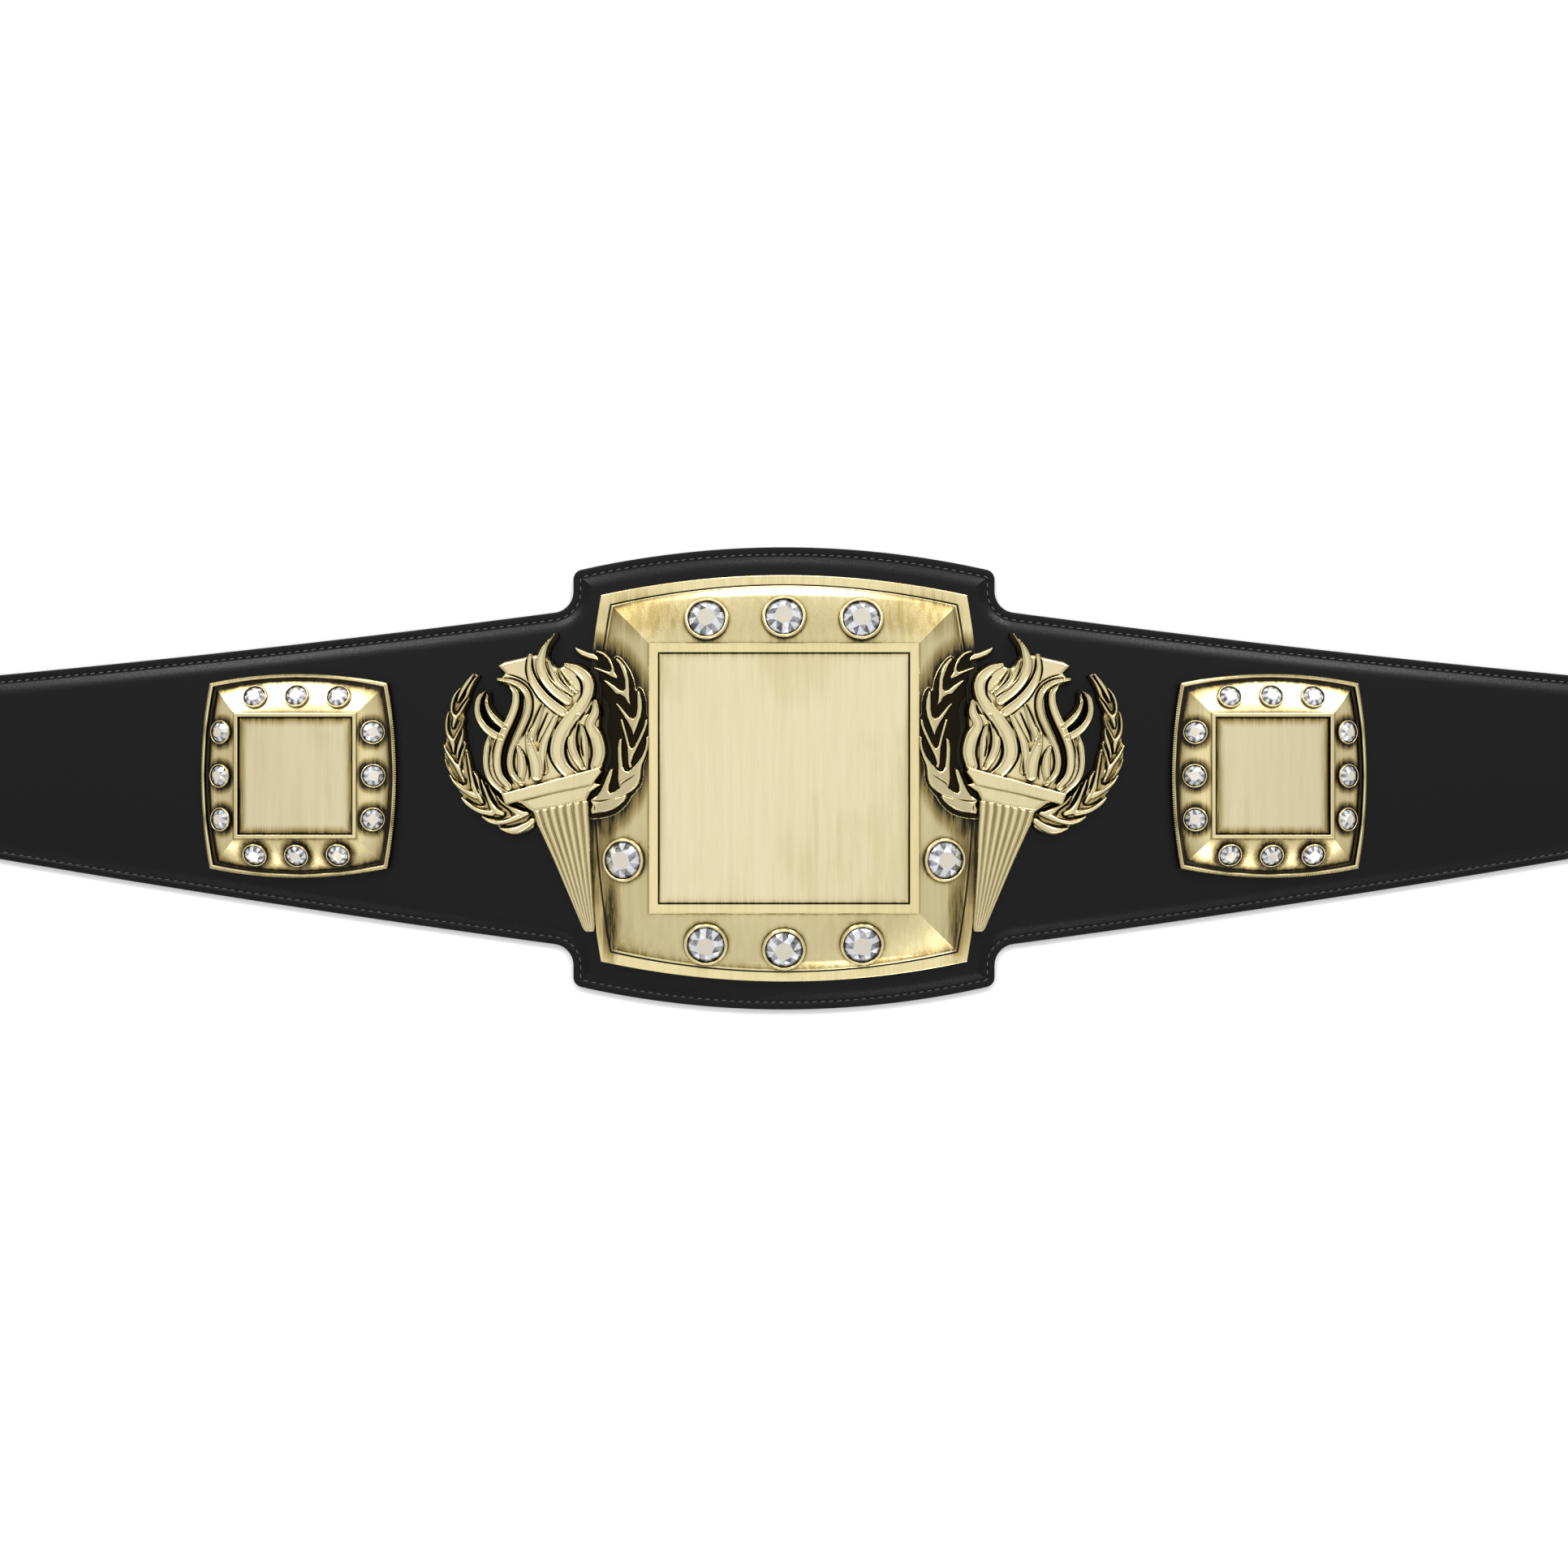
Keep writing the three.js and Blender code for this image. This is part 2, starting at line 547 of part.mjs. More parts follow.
const SIDE_PLATE = {
  width: SIDE_WIDTH,
  height: SIDE_HEIGHT,
  widthBulge: SIDE_WIDTH_BULGE,
  heightBulge: SIDE_HEIGHT_BULGE,
  sideSteps: SIDE_SIDE_STEPS,
  bevelInset: SIDE_BEVEL_INSET,
  bevelFoot: SIDE_BEVEL_FOOT,
  bevelTop: SIDE_BEVEL_TOP,
  bevelCrown: SIDE_BEVEL_CROWN,
  innerWidth: FRAME_WIDTH,
  innerHeight: FRAME_HEIGHT,
};

// The mitred bevel between a plate's outline and its raised square, as two or three rings.
function bevelRings(plate, grow = 0) {
  const middle = 0.5;
  const foot = plateRing(plate, plate.bevelInset - grow, plate.bevelFoot + grow);
  const top = squareRing(plate, plate.innerWidth + 2 * grow, plate.innerHeight + 2 * grow, plate.bevelTop + grow);
  return [foot, blendRings(foot, top, middle, plate.bevelCrown), top];
}

// Where a stone sits on a bevel: the place and the turn that lay it on the slope.
function bevelSeat(plate, { edge, along, across }) {
  const upright = edge === 'left' || edge === 'right';
  const sign = edge === 'top' || edge === 'right' ? 1 : -1;
  const halfLength = (upright ? plate.height : plate.width) / 2;
  const halfReach = (upright ? plate.width : plate.height) / 2;
  const bulge = upright ? plate.widthBulge : plate.heightBulge;
  const corner = halfLength - (upright ? plate.heightBulge : plate.widthBulge);
  const place = along * halfLength;
  const foot = halfReach - plate.bevelInset - bulge * (place / corner) ** 2;
  const top = (upright ? plate.innerWidth : plate.innerHeight) / 2;
  const reach = THREE.MathUtils.lerp(foot, top, across);
  const rise = plate.bevelTop - plate.bevelFoot;
  const height = plate.bevelFoot + rise * across + plate.bevelCrown * 4 * across * (1 - across);
  const lean = Math.atan2(rise, foot - top);
  const seat = new THREE.Object3D();
  seat.position.set(upright ? sign * reach : place, upright ? place : sign * reach, height);
  seat.rotation.set(upright ? 0 : -sign * lean, upright ? sign * lean : 0, 0);
  seat.updateMatrix();
  return seat;
}

// A round cup that holds a stone, turned about its axis, with its seat at the height 0.
function bezelGeometry(stoneDiameter, wall, height, facets) {
  const inner = (stoneDiameter / 2 + STONE_GAP) / Math.cos(Math.PI / facets);
  const outer = inner + wall;
  const foot = -height * BEZEL_SUNK_SHARE;
  const profile = [
    [0, foot],
    [outer, foot],
    [outer - wall * BEZEL_TAPER_SHARE, height],
    [inner, height],
    [inner, 0],
    [0, 0],
  ];
  return new THREE.LatheGeometry(profile.map(([r, z]) => new THREE.Vector2(r, z)), facets).rotateX(Math.PI / 2);
}

// A round stone with a flat table, a kite facet at each of its sides and a band of girdle facets.
function brilliantGeometry(diameter) {
  const sides = STONE_SIDES;
  const points = 2 * sides;
  const radius = diameter / 2;
  const tableRadius = radius * STONE_TABLE_SHARE;
  const crown = radius * STONE_CROWN_SHARE;
  const at = (turn, r, z) => [r * Math.cos(turn * Math.PI / sides), r * Math.sin(turn * Math.PI / sides), z];
  const kiteRadius = (radius + tableRadius) / 2 * STONE_KITE_SHARE;
  const kiteRun = kiteRadius * Math.cos(Math.PI / sides) - tableRadius;
  const kiteHeight = STONE_GIRDLE + crown * (1 - kiteRun / (radius - tableRadius));
  const positions = [0, 0, 0, 0, 0, STONE_GIRDLE + crown];
  for (let i = 0; i < points; i += 1) positions.push(...at(i, radius, 0));
  for (let i = 0; i < points; i += 1) positions.push(...at(i, radius, STONE_GIRDLE));
  for (let i = 0; i < sides; i += 1) positions.push(...at(2 * i + 1, kiteRadius, kiteHeight));
  for (let i = 0; i < sides; i += 1) positions.push(...at(2 * i, tableRadius, STONE_GIRDLE + crown));
  const low = 2;
  const high = low + points;
  const kite = high + points;
  const table = kite + sides;
  const indices = [];
  for (let i = 0; i < points; i += 1) {
    const j = (i + 1) % points;
    const nearKite = kite + Math.floor(i / 2);
    indices.push(0, low + j, low + i);
    indices.push(low + i, low + j, high + j, low + i, high + j, high + i);
    indices.push(high + i, high + j, nearKite);
  }
  for (let i = 0; i < sides; i += 1) {
    const j = (i + 1) % sides;
    const before = kite + (i + sides - 1) % sides;
    indices.push(high + 2 * i, kite + i, table + i, high + 2 * i, table + i, before);
    indices.push(kite + i, table + j, table + i, 1, table + i, table + j);
  }
  return indexedGeometry(positions, indices);
}

// A small round stone with a flat table and a facet at each of its sides.
function singleCutGeometry(diameter) {
  const radius = diameter / 2;
  const ring = (r, z) => Array.from({ length: STONE_SIDES }, (_, i) => {
    const turn = (i + 0.5) * 2 * Math.PI / STONE_SIDES;
    return new THREE.Vector3(r * Math.cos(turn), r * Math.sin(turn), z);
  });
  return loft([
    ring(radius, 0),
    ring(radius, STONE_GIRDLE),
    ring(radius * STONE_TABLE_SHARE, STONE_GIRDLE + radius * STONE_CROWN_SHARE),
  ]);
}

// A plate's own loft with a bezel joined on at each stone's seat.
function plateWithBezels(rings, plate, stones, bezel) {
  let solid = toSolid(loft(rings));
  stones.forEach((stone) => {
    solid = solid.add(toSolid(bezel.clone().applyMatrix4(bevelSeat(plate, stone).matrix)));
  });
  return toGeometry(solid);
}

function centrePlateGeometry() {
  const plate = CENTRE_PLATE;
  const grooveInset = CENTRE_RIM_WIDTH + CENTRE_GROOVE_WIDTH;
  const pocket = PLAQUE_SIZE - 2 * PLAQUE_BORDER;
  const round = PLAQUE_EDGE_ROUND;
  const rings = [
    plateRing(plate, 0, PLATE_FOOT),
    plateRing(plate, 0, CENTRE_RIM_TOP),
    plateRing(plate, CENTRE_RIM_WIDTH, CENTRE_RIM_TOP),
    plateRing(plate, CENTRE_RIM_WIDTH, CENTRE_RIM_TOP - CENTRE_GROOVE_DEPTH),
    plateRing(plate, grooveInset, CENTRE_RIM_TOP - CENTRE_GROOVE_DEPTH),
    ...bevelRings(plate),
    squareRing(plate, PLAQUE_SIZE, PLAQUE_SIZE, PLAQUE_TOP - round),
    squareRing(plate, PLAQUE_SIZE - 2 * round, PLAQUE_SIZE - 2 * round, PLAQUE_TOP),
    squareRing(plate, pocket, pocket, PLAQUE_TOP),
    squareRing(plate, pocket, pocket, PLAQUE_TOP - CENTRE_PANEL_THICKNESS - SEAT_GAP),
  ];
  const bezel = bezelGeometry(CENTRE_STONE_DIAMETER, CENTRE_BEZEL_WALL, CENTRE_BEZEL_HEIGHT, CENTRE_BEZEL_FACETS);
  return plateWithBezels(rings, plate, CENTRE_STONES, bezel);
}

function sidePlateGeometry() {
  const plate = SIDE_PLATE;
  const pocketWidth = FRAME_WIDTH - 2 * FRAME_BORDER;
  const pocketHeight = FRAME_HEIGHT - 2 * FRAME_BORDER;
  const pocketFloor = FRAME_TOP - SIDE_PANEL_RECESS - SIDE_PANEL_THICKNESS - SEAT_GAP;
  const round = FRAME_EDGE_ROUND;
  const rings = [
    plateRing(plate, 0, PLATE_FOOT),
    plateRing(plate, 0, SIDE_RIM_TOP - SIDE_RIM_ROUND),
    plateRing(plate, SIDE_RIM_ROUND, SIDE_RIM_TOP),
    plateRing(plate, SIDE_RIM_WIDTH - SIDE_RIM_ROUND, SIDE_RIM_TOP),
    plateRing(plate, SIDE_RIM_WIDTH, SIDE_BEVEL_FOOT),
    ...bevelRings(plate),
    squareRing(plate, FRAME_WIDTH, FRAME_HEIGHT, FRAME_TOP - round),
    squareRing(plate, FRAME_WIDTH - 2 * round, FRAME_HEIGHT - 2 * round, FRAME_TOP),
    squareRing(plate, pocketWidth, pocketHeight, FRAME_TOP),
    squareRing(plate, pocketWidth, pocketHeight, pocketFloor),
  ];
  const bezel = bezelGeometry(SIDE_STONE_DIAMETER, SIDE_BEZEL_WALL, SIDE_BEZEL_HEIGHT, SIDE_BEZEL_FACETS);
  return plateWithBezels(rings, plate, SIDE_STONES, bezel);
}

// A point of the casting from its shares, at a height.
function castingPoint(out, up, height) {
  return new THREE.Vector3(CASTING_INNER_EDGE + out * CASTING_WIDTH, up * CASTING_HEIGHT, height);
}

// Height of what the casting lies on, beside and over the centre plate.
function groundHeight(out) {
  const x = CASTING_INNER_EDGE + out * CASTING_WIDTH;
  const foot = CENTRE_WIDTH / 2 - CENTRE_BEVEL_INSET;
  const share = THREE.MathUtils.clamp((foot - x) / (foot - PLAQUE_SIZE / 2), 0, 1);
  return THREE.MathUtils.lerp(CENTRE_BEVEL_FOOT, CENTRE_BEVEL_TOP, share) + CENTRE_BEVEL_CROWN;
}

// Heights of a leaf's rib: over the leather, and where the branch also climbs the centre plate's bevel.
const ribOnLeather = () => FIELD_THICKNESS + BRANCH_RELIEF;
const ribOverPlate = (out) => Math.max(ribOnLeather(), groundHeight(out) + BRANCH_PLATE_RELIEF);

// Triangles over a flat outline, all counter-clockwise seen from above.
function flatTriangles(points) {
  const outline = points.map((p) => new THREE.Vector2(p.x, p.y));
  return THREE.ShapeUtils.triangulateShape(outline, []).map(([a, b, c]) => {
    const turn = THREE.ShapeUtils.area([outline[a], outline[b], outline[c]]);
    return turn > 0 ? [a, b, c] : [a, c, b];
  });
}

// The edge of a row of leaves, tip and notch by turns, each with how far it drops below the rib.
function leafEdge(rows, outKey, upKey) {
  const tip = (row) => new THREE.Vector2(row[outKey], row[upKey]);
  return rows.flatMap((row, i) => {
    const point = { share: tip(row), drop: LEAF_TIP_DROP };
    if (i === rows.length - 1) return [point];
    const next = rows[i + 1];
    const stem = new THREE.Vector2(next.stemOut, next.stemUp);
    const notch = tip(row).lerp(tip(next), LEAF_NOTCH_ALONG).lerp(stem, LEAF_NOTCH_IN);
    return [point, { share: notch, drop: LEAF_NOTCH_DROP }];
  });
}

// A laurel branch: a raised stem line between two rows of leaf tips, over drafted walls.
function branchGeometry(rows, ribHeight) {
  const place = ({ share, drop }) => castingPoint(share.x, share.y, ribHeight(share.x) - drop);
  const stem = rows.map((row) => place({ share: new THREE.Vector2(row.stemOut, row.stemUp), drop: 0 }));
  const outer = leafEdge(rows, 'outerOut', 'outerUp').map(place);
  const inner = leafEdge(rows, 'innerOut', 'innerUp').map(place);
  const rim = [stem[0], ...outer, ...inner.slice().reverse()];
  const count = rim.length;
  const turn = Math.sign(THREE.ShapeUtils.area(rim));
  const foot = rim.map((p, i) => {
    const before = rim[(i + count - 1) % count];
    const after = rim[(i + 1) % count];
    const away = new THREE.Vector2(after.y - before.y, before.x - after.x).setLength(turn * CASTING_DRAFT);
    return new THREE.Vector3(p.x + away.x, p.y + away.y, PLATE_FOOT);
  });
  const last = rows.length - 1;
  const outerAt = (i) => 1 + i;
  const innerAt = (i) => count - 1 - i;
  const stemAt = (i) => (i === 0 ? 0 : 2 * count + i - 1);
  const faces = [];
  for (let i = 0; i < last; i += 1) {
    const [tip, notch, next] = [2 * i, 2 * i + 1, 2 * i + 2];
    faces.push([stemAt(i), outerAt(tip), stemAt(i + 1)]);
    faces.push([stemAt(i + 1), outerAt(tip), outerAt(notch)], [stemAt(i + 1), outerAt(notch), outerAt(next)]);
    faces.push([stemAt(i), stemAt(i + 1), innerAt(tip)]);
    faces.push([stemAt(i + 1), innerAt(notch), innerAt(tip)], [stemAt(i + 1), innerAt(next), innerAt(notch)]);
  }
  faces.push([stemAt(last), outerAt(2 * last), innerAt(2 * last)]);
  for (let i = 0; i < count; i += 1) {
    const j = (i + 1) % count;
    faces.push([i, count + i, count + j], [i, count + j, j]);
  }
  const facing = faces.map(([a, b, c]) => (turn > 0 ? [a, b, c] : [a, c, b]));
  flatTriangles(foot).forEach(([a, b, c]) => facing.push([count + a, count + c, count + b]));
  return indexedGeometry([...rim, ...foot, ...stem.slice(1)].flatMap((p) => [p.x, p.y, p.z]), facing.flat());
}

// A ridge along a line of rows, with a crest at one height over two edges at another.
function ridgeGeometry(rows, edgeHeight, crestHeight) {
  const centres = rows.map((row) => castingPoint(row.out, row.up, 0));
  const rings = rows.map((row, i) => {
    const before = centres[Math.max(i - 1, 0)];
    const after = centres[Math.min(i + 1, rows.length - 1)];
    const along = after.clone().sub(before).normalize();
    const side = new THREE.Vector3(-along.y, along.x, 0).multiplyScalar(row.width * CASTING_WIDTH / 2);
    const crest = centres[i].clone().setZ(crestHeight);
    return [
      centres[i].clone().add(side).setZ(edgeHeight),
      crest,
      centres[i].clone().sub(side).setZ(edgeHeight),
    ];
  });
  return loft(rings);
}

// A raised bar along a line of rows. A row's relief is a share of the bar's.
function barGeometry(rows, relief, profile) {
  const centres = rows.map((row) => castingPoint(row.out, row.up, 0));
  const rings = rows.map((row, i) => {
    const before = centres[Math.max(i - 1, 0)];
    const after = centres[Math.min(i + 1, rows.length - 1)];
    const along = after.clone().sub(before).normalize();
    const side = new THREE.Vector3(-along.y, along.x, 0).multiplyScalar(row.width * CASTING_WIDTH / 2);
    return profile.map(({ across, height }) => (
      centres[i].clone().addScaledVector(side, across).setZ(PLATE_FOOT + relief * row.relief * height)
    ));
  });
  return loft(rings);
}

// Sections across a bar, from its left edge to its right one, as shares of its half width and relief.
const ROUND_PROFILE = [
  { across: 1, height: 0 },
  { across: 0.95, height: 0.55 },
  { across: 0.5, height: 0.93 },
  { across: 0, height: 1 },
  { across: -0.5, height: 0.93 },
  { across: -0.95, height: 0.55 },
  { across: -1, height: 0 },
];

// The handle's section: ribs with a shallow flute between each two.
function flutedProfile() {
  const points = [{ across: 1, height: 0 }];
  for (let i = 0; i <= 2 * FLUTE_COUNT; i += 1) {
    const turn = Math.PI * THREE.MathUtils.lerp(FLUTE_EDGE_SHARE, 1 - FLUTE_EDGE_SHARE, i / (2 * FLUTE_COUNT));
    const flute = i % 2 === 0 ? FLUTE_DEPTH / HANDLE_RELIEF : 0;
    const rise = THREE.MathUtils.lerp(HANDLE_SHOULDER_SHARE, 1, Math.sin(turn));
    points.push({ across: Math.cos(turn), height: rise - flute });
  }
  points.push({ across: -1, height: 0 });
  return points;
}

// A plain block under an outline of shares, up to a relief above the leather.
function blockGeometry(outline, relief) {
  const ring = (height) => outline.map(({ out, up }) => castingPoint(out, up, height));
  const [low, high] = [ring(PLATE_FOOT), ring(PLATE_FOOT + relief)];
  const count = low.length;
  const faces = [];
  for (let i = 0; i < count; i += 1) {
    const j = (i + 1) % count;
    faces.push([i, j, count + j], [i, count + j, count + i]);
  }
  flatTriangles(low).forEach(([a, b, c]) => faces.push([a, c, b], [count + a, count + b, count + c]));
  return indexedGeometry([...low, ...high].flatMap((p) => [p.x, p.y, p.z]), faces.flat());
}

// The centre plate's outer form, grown by the seat gap, which a casting is cut back to.
function centrePlateEnvelope() {
  const grown = { ...CENTRE_PLATE, width: CENTRE_WIDTH + 2 * SEAT_GAP, height: CENTRE_HEIGHT + 2 * SEAT_GAP };
  return toSolid(loft([
    plateRing(grown, 0, 0),
    plateRing(grown, 0, CENTRE_RIM_TOP + SEAT_GAP),
    plateRing(grown, CENTRE_RIM_WIDTH + SEAT_GAP, CENTRE_RIM_TOP + SEAT_GAP),
    ...bevelRings(CENTRE_PLATE, SEAT_GAP),
    squareRing(grown, PLAQUE_SIZE + 2 * SEAT_GAP, PLAQUE_SIZE + 2 * SEAT_GAP, PLAQUE_TOP + SEAT_GAP),
  ]));
}

// The casting on the +X side of the centre plate.
function castingGeometry() {
  const flameFoot = PLATE_FOOT + FLAME_BODY_RELIEF - TONGUE_SUNK;
  const flameCrest = PLATE_FOOT + FLAME_RELIEF;
  const pieces = [
    branchGeometry(OUTER_BRANCH, ribOnLeather),
    branchGeometry(INNER_BRANCH, ribOverPlate),
    blockGeometry(FLAME_BODY, FLAME_BODY_RELIEF),
    ...TONGUES.map((rows) => ridgeGeometry(rows, flameFoot, flameCrest)),
    barGeometry(HANDLE, HANDLE_RELIEF, flutedProfile()),
    barGeometry(BOWL_COLLAR, BOWL_RELIEF - COLLAR_DROP, ROUND_PROFILE),
    barGeometry(BOWL_LIP, BOWL_RELIEF, ROUND_PROFILE),
  ];
  const whole = pieces.map(toSolid).reduce((sum, piece) => sum.add(piece));
  return toGeometry(whole.subtract(centrePlateEnvelope()));
}

// A flat square panel with its face at the height 0.
function panelGeometry(width, height, thickness) {
  return new THREE.BoxGeometry(width - 2 * INLAY_GAP, height - 2 * INLAY_GAP, thickness)
    .translate(0, 0, -thickness / 2);
}

// A round fastener with a domed cap or a stud, standing on the height 0.
function snapGeometry(isStud) {
  const radius = SNAP_DIAMETER / 2;
  const neck = SNAP_STUD_DIAMETER / 2;
  const rim = [[0, 0], [radius, 0], [radius, SNAP_HEIGHT * SNAP_RIM_SHARE]];
  const dome = [
    ...rim,
    [radius * SNAP_DOME_SHARES.radius, SNAP_HEIGHT * SNAP_DOME_SHARES.height],
    [0, SNAP_HEIGHT],
  ];
  const stud = [
    ...rim,
    [neck * STUD_WAIST_SHARES.radius, SNAP_HEIGHT * STUD_WAIST_SHARES.height],
    [neck, SNAP_STUD_HEIGHT * STUD_TOP_SHARES.height],
    [neck * STUD_TOP_SHARES.radius, SNAP_STUD_HEIGHT],
    [0, SNAP_STUD_HEIGHT],
  ];
  const profile = (isStud ? stud : dome).map(([r, z]) => new THREE.Vector2(r, z));
  return new THREE.LatheGeometry(profile, SNAP_FACETS).rotateX(Math.PI / 2);
}

// Materials
const leather = new THREE.MeshStandardMaterial({ color: 0x222223, roughness: 0.62, metalness: 0 });
const gold = new THREE.MeshStandardMaterial({ color: 0xd8c98f, roughness: 0.3, metalness: 1 });
const panelGold = new THREE.MeshStandardMaterial({ color: 0xe4d9b0, roughness: 0.38, metalness: 1 });
const antiqueGold = new THREE.MeshStandardMaterial({ color: 0xcbbb82, roughness: 0.34, metalness: 1 });
const crystal = new THREE.MeshStandardMaterial({ color: 0xe9e6dd, roughness: 0.05, metalness: 0.1 });
const snapMetal = new THREE.MeshStandardMaterial({ color: 0x2a2a2b, roughness: 0.4, metalness: 1 });

const belt = new THREE.Group();

function addPiece(name, geometry, material, parent = belt) {
  const mesh = new THREE.Mesh(geometry, material);
  mesh.name = name;
  parent.add(mesh);
  return mesh;
}

// The stones of a plate, numbered in the order of their table.
function addStones(name, plate, stones, geometry, parent) {
  stones.forEach((stone, i) => {
    const seat = bevelSeat(plate, stone);
    const mesh = addPiece(`${name}_${i + 1}`, geometry, crystal, parent);
    mesh.quaternion.copy(seat.quaternion);
    mesh.position.copy(seat.localToWorld(new THREE.Vector3(0, 0, STONE_GAP)));
  });
}

addPiece('strap', strapGeometry(), leather);

addPiece('centre_plate', centrePlateGeometry(), gold);
const pocketSize = PLAQUE_SIZE - 2 * PLAQUE_BORDER;
addPiece('centre_panel', panelGeometry(pocketSize, pocketSize, CENTRE_PANEL_THICKNESS), panelGold)
  .position.set(0, 0, PLAQUE_TOP);
addStones('centre_stone', CENTRE_PLATE, CENTRE_STONES, brilliantGeometry(CENTRE_STONE_DIAMETER), belt);

const sidePlate = sidePlateGeometry();
const sidePanel = panelGeometry(FRAME_WIDTH - 2 * FRAME_BORDER, FRAME_HEIGHT - 2 * FRAME_BORDER, SIDE_PANEL_THICKNESS);
const sideStone = singleCutGeometry(SIDE_STONE_DIAMETER);
const casting = castingGeometry();
const cap = snapGeometry(false);
const stud = snapGeometry(true);

[{ side: 'left', sign: -1 }, { side: 'right', sign: 1 }].forEach(({ side, sign }) => {
  const group = new THREE.Group();
  group.position.set(sign * SIDE_PLATE_X, midlineRise(SIDE_PLATE_X), 0);
  belt.add(group);
  addPiece(`side_plate_${side}`, sidePlate, gold, group);
  addPiece(`side_panel_${side}`, sidePanel, panelGold, group).position.set(0, 0, FRAME_TOP - SIDE_PANEL_RECESS);
  addStones(`side_stone_${side}`, SIDE_PLATE, SIDE_STONES, sideStone, group);

  addPiece(`torch_wreath_${side}`, sign > 0 ? casting : mirrored(casting), antiqueGold);

  for (let i = 0; i < SNAP_ROWS * SNAP_ROWS; i += 1) {
    const x = STRAP_LENGTH / 2 - SNAP_END_DISTANCE - SNAP_PITCH * Math.floor(i / SNAP_ROWS);
    const y = midlineRise(x) + SNAP_PITCH * (i % SNAP_ROWS - (SNAP_ROWS - 1) / 2);
    addPiece(`snap_${sign < 0 ? 'cap' : 'stud'}_${i + 1}`, sign < 0 ? cap : stud, snapMetal)
      .position.set(sign * x, y, PLATE_FOOT);
  }
});

export default belt;
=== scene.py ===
import logging
import math
from dataclasses import dataclass, field
from enum import Enum
from typing import Callable, ClassVar, Sequence

import bmesh
import bpy
import numpy as np
from mathutils import Matrix, Vector


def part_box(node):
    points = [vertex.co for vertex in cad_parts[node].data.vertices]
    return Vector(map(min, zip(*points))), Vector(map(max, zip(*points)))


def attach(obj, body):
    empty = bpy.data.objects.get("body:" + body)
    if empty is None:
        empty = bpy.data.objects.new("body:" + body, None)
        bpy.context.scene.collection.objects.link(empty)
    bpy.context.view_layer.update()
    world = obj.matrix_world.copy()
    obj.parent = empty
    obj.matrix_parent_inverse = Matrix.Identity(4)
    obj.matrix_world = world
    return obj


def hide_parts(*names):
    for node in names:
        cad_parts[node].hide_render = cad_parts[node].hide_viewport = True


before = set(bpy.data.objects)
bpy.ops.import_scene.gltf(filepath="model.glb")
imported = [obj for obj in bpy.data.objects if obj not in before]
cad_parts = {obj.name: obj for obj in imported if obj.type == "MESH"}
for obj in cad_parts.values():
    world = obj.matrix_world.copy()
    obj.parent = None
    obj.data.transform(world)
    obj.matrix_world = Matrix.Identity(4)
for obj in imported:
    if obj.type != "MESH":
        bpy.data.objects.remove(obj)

LOG = logging.getLogger("belt")
MM = 0.001
ROOT = "root"
# Corners nearer than this touch, in metres.
TOUCHING = 1e-6

Colour = tuple[float, float, float]
Scale = tuple[float, float, float]
Span = tuple[float, float]
Outline = tuple[tuple[float, float], ...]
Stroke = tuple[tuple[float, float, float], ...]
Profile = list[tuple[float, float]]
Ring = list[Vector]
Window = tuple[slice, slice]
Ground = Callable[[np.ndarray], np.ndarray]
Socket = bpy.types.NodeSocket

# Outline of the flames' body: distance from the belt's middle and height, in millimetres.
FLAME_OUTLINE: Outline = (
    (166.1, -10.2), (174.9, -4.4), (178.7, 3.4), (179.7, 11.7), (179.2, 19.9), (177.3, 24.8),
    (176.3, 25.7), (168.1, 28.7), (164.2, 39.3), (161.7, 47.1), (162.2, 51.5), (164.2, 54.9),
    (171, 58.8), (167.6, 63.1), (171.9, 67.5), (168.1, 69.9), (158.3, 72.1), (151.1, 73.8),
    (148.1, 74.3), (144.7, 77.7), (142.8, 81.6), (137.9, 86.5), (137, 85.5), (140.9, 79.7),
    (142.3, 74.3), (140.9, 69.9), (135.5, 66.1), (130.7, 68.5), (123.4, 66.5), (118, 63.6),
    (114.6, 58.8), (114.6, 52), (115.6, 47.1), (112.7, 47.1), (110.7, 43.2), (110.3, 36.4),
    (110.7, 29.6), (107.8, 19.9), (107.3, 14.1), (109.3, 4.4),
)

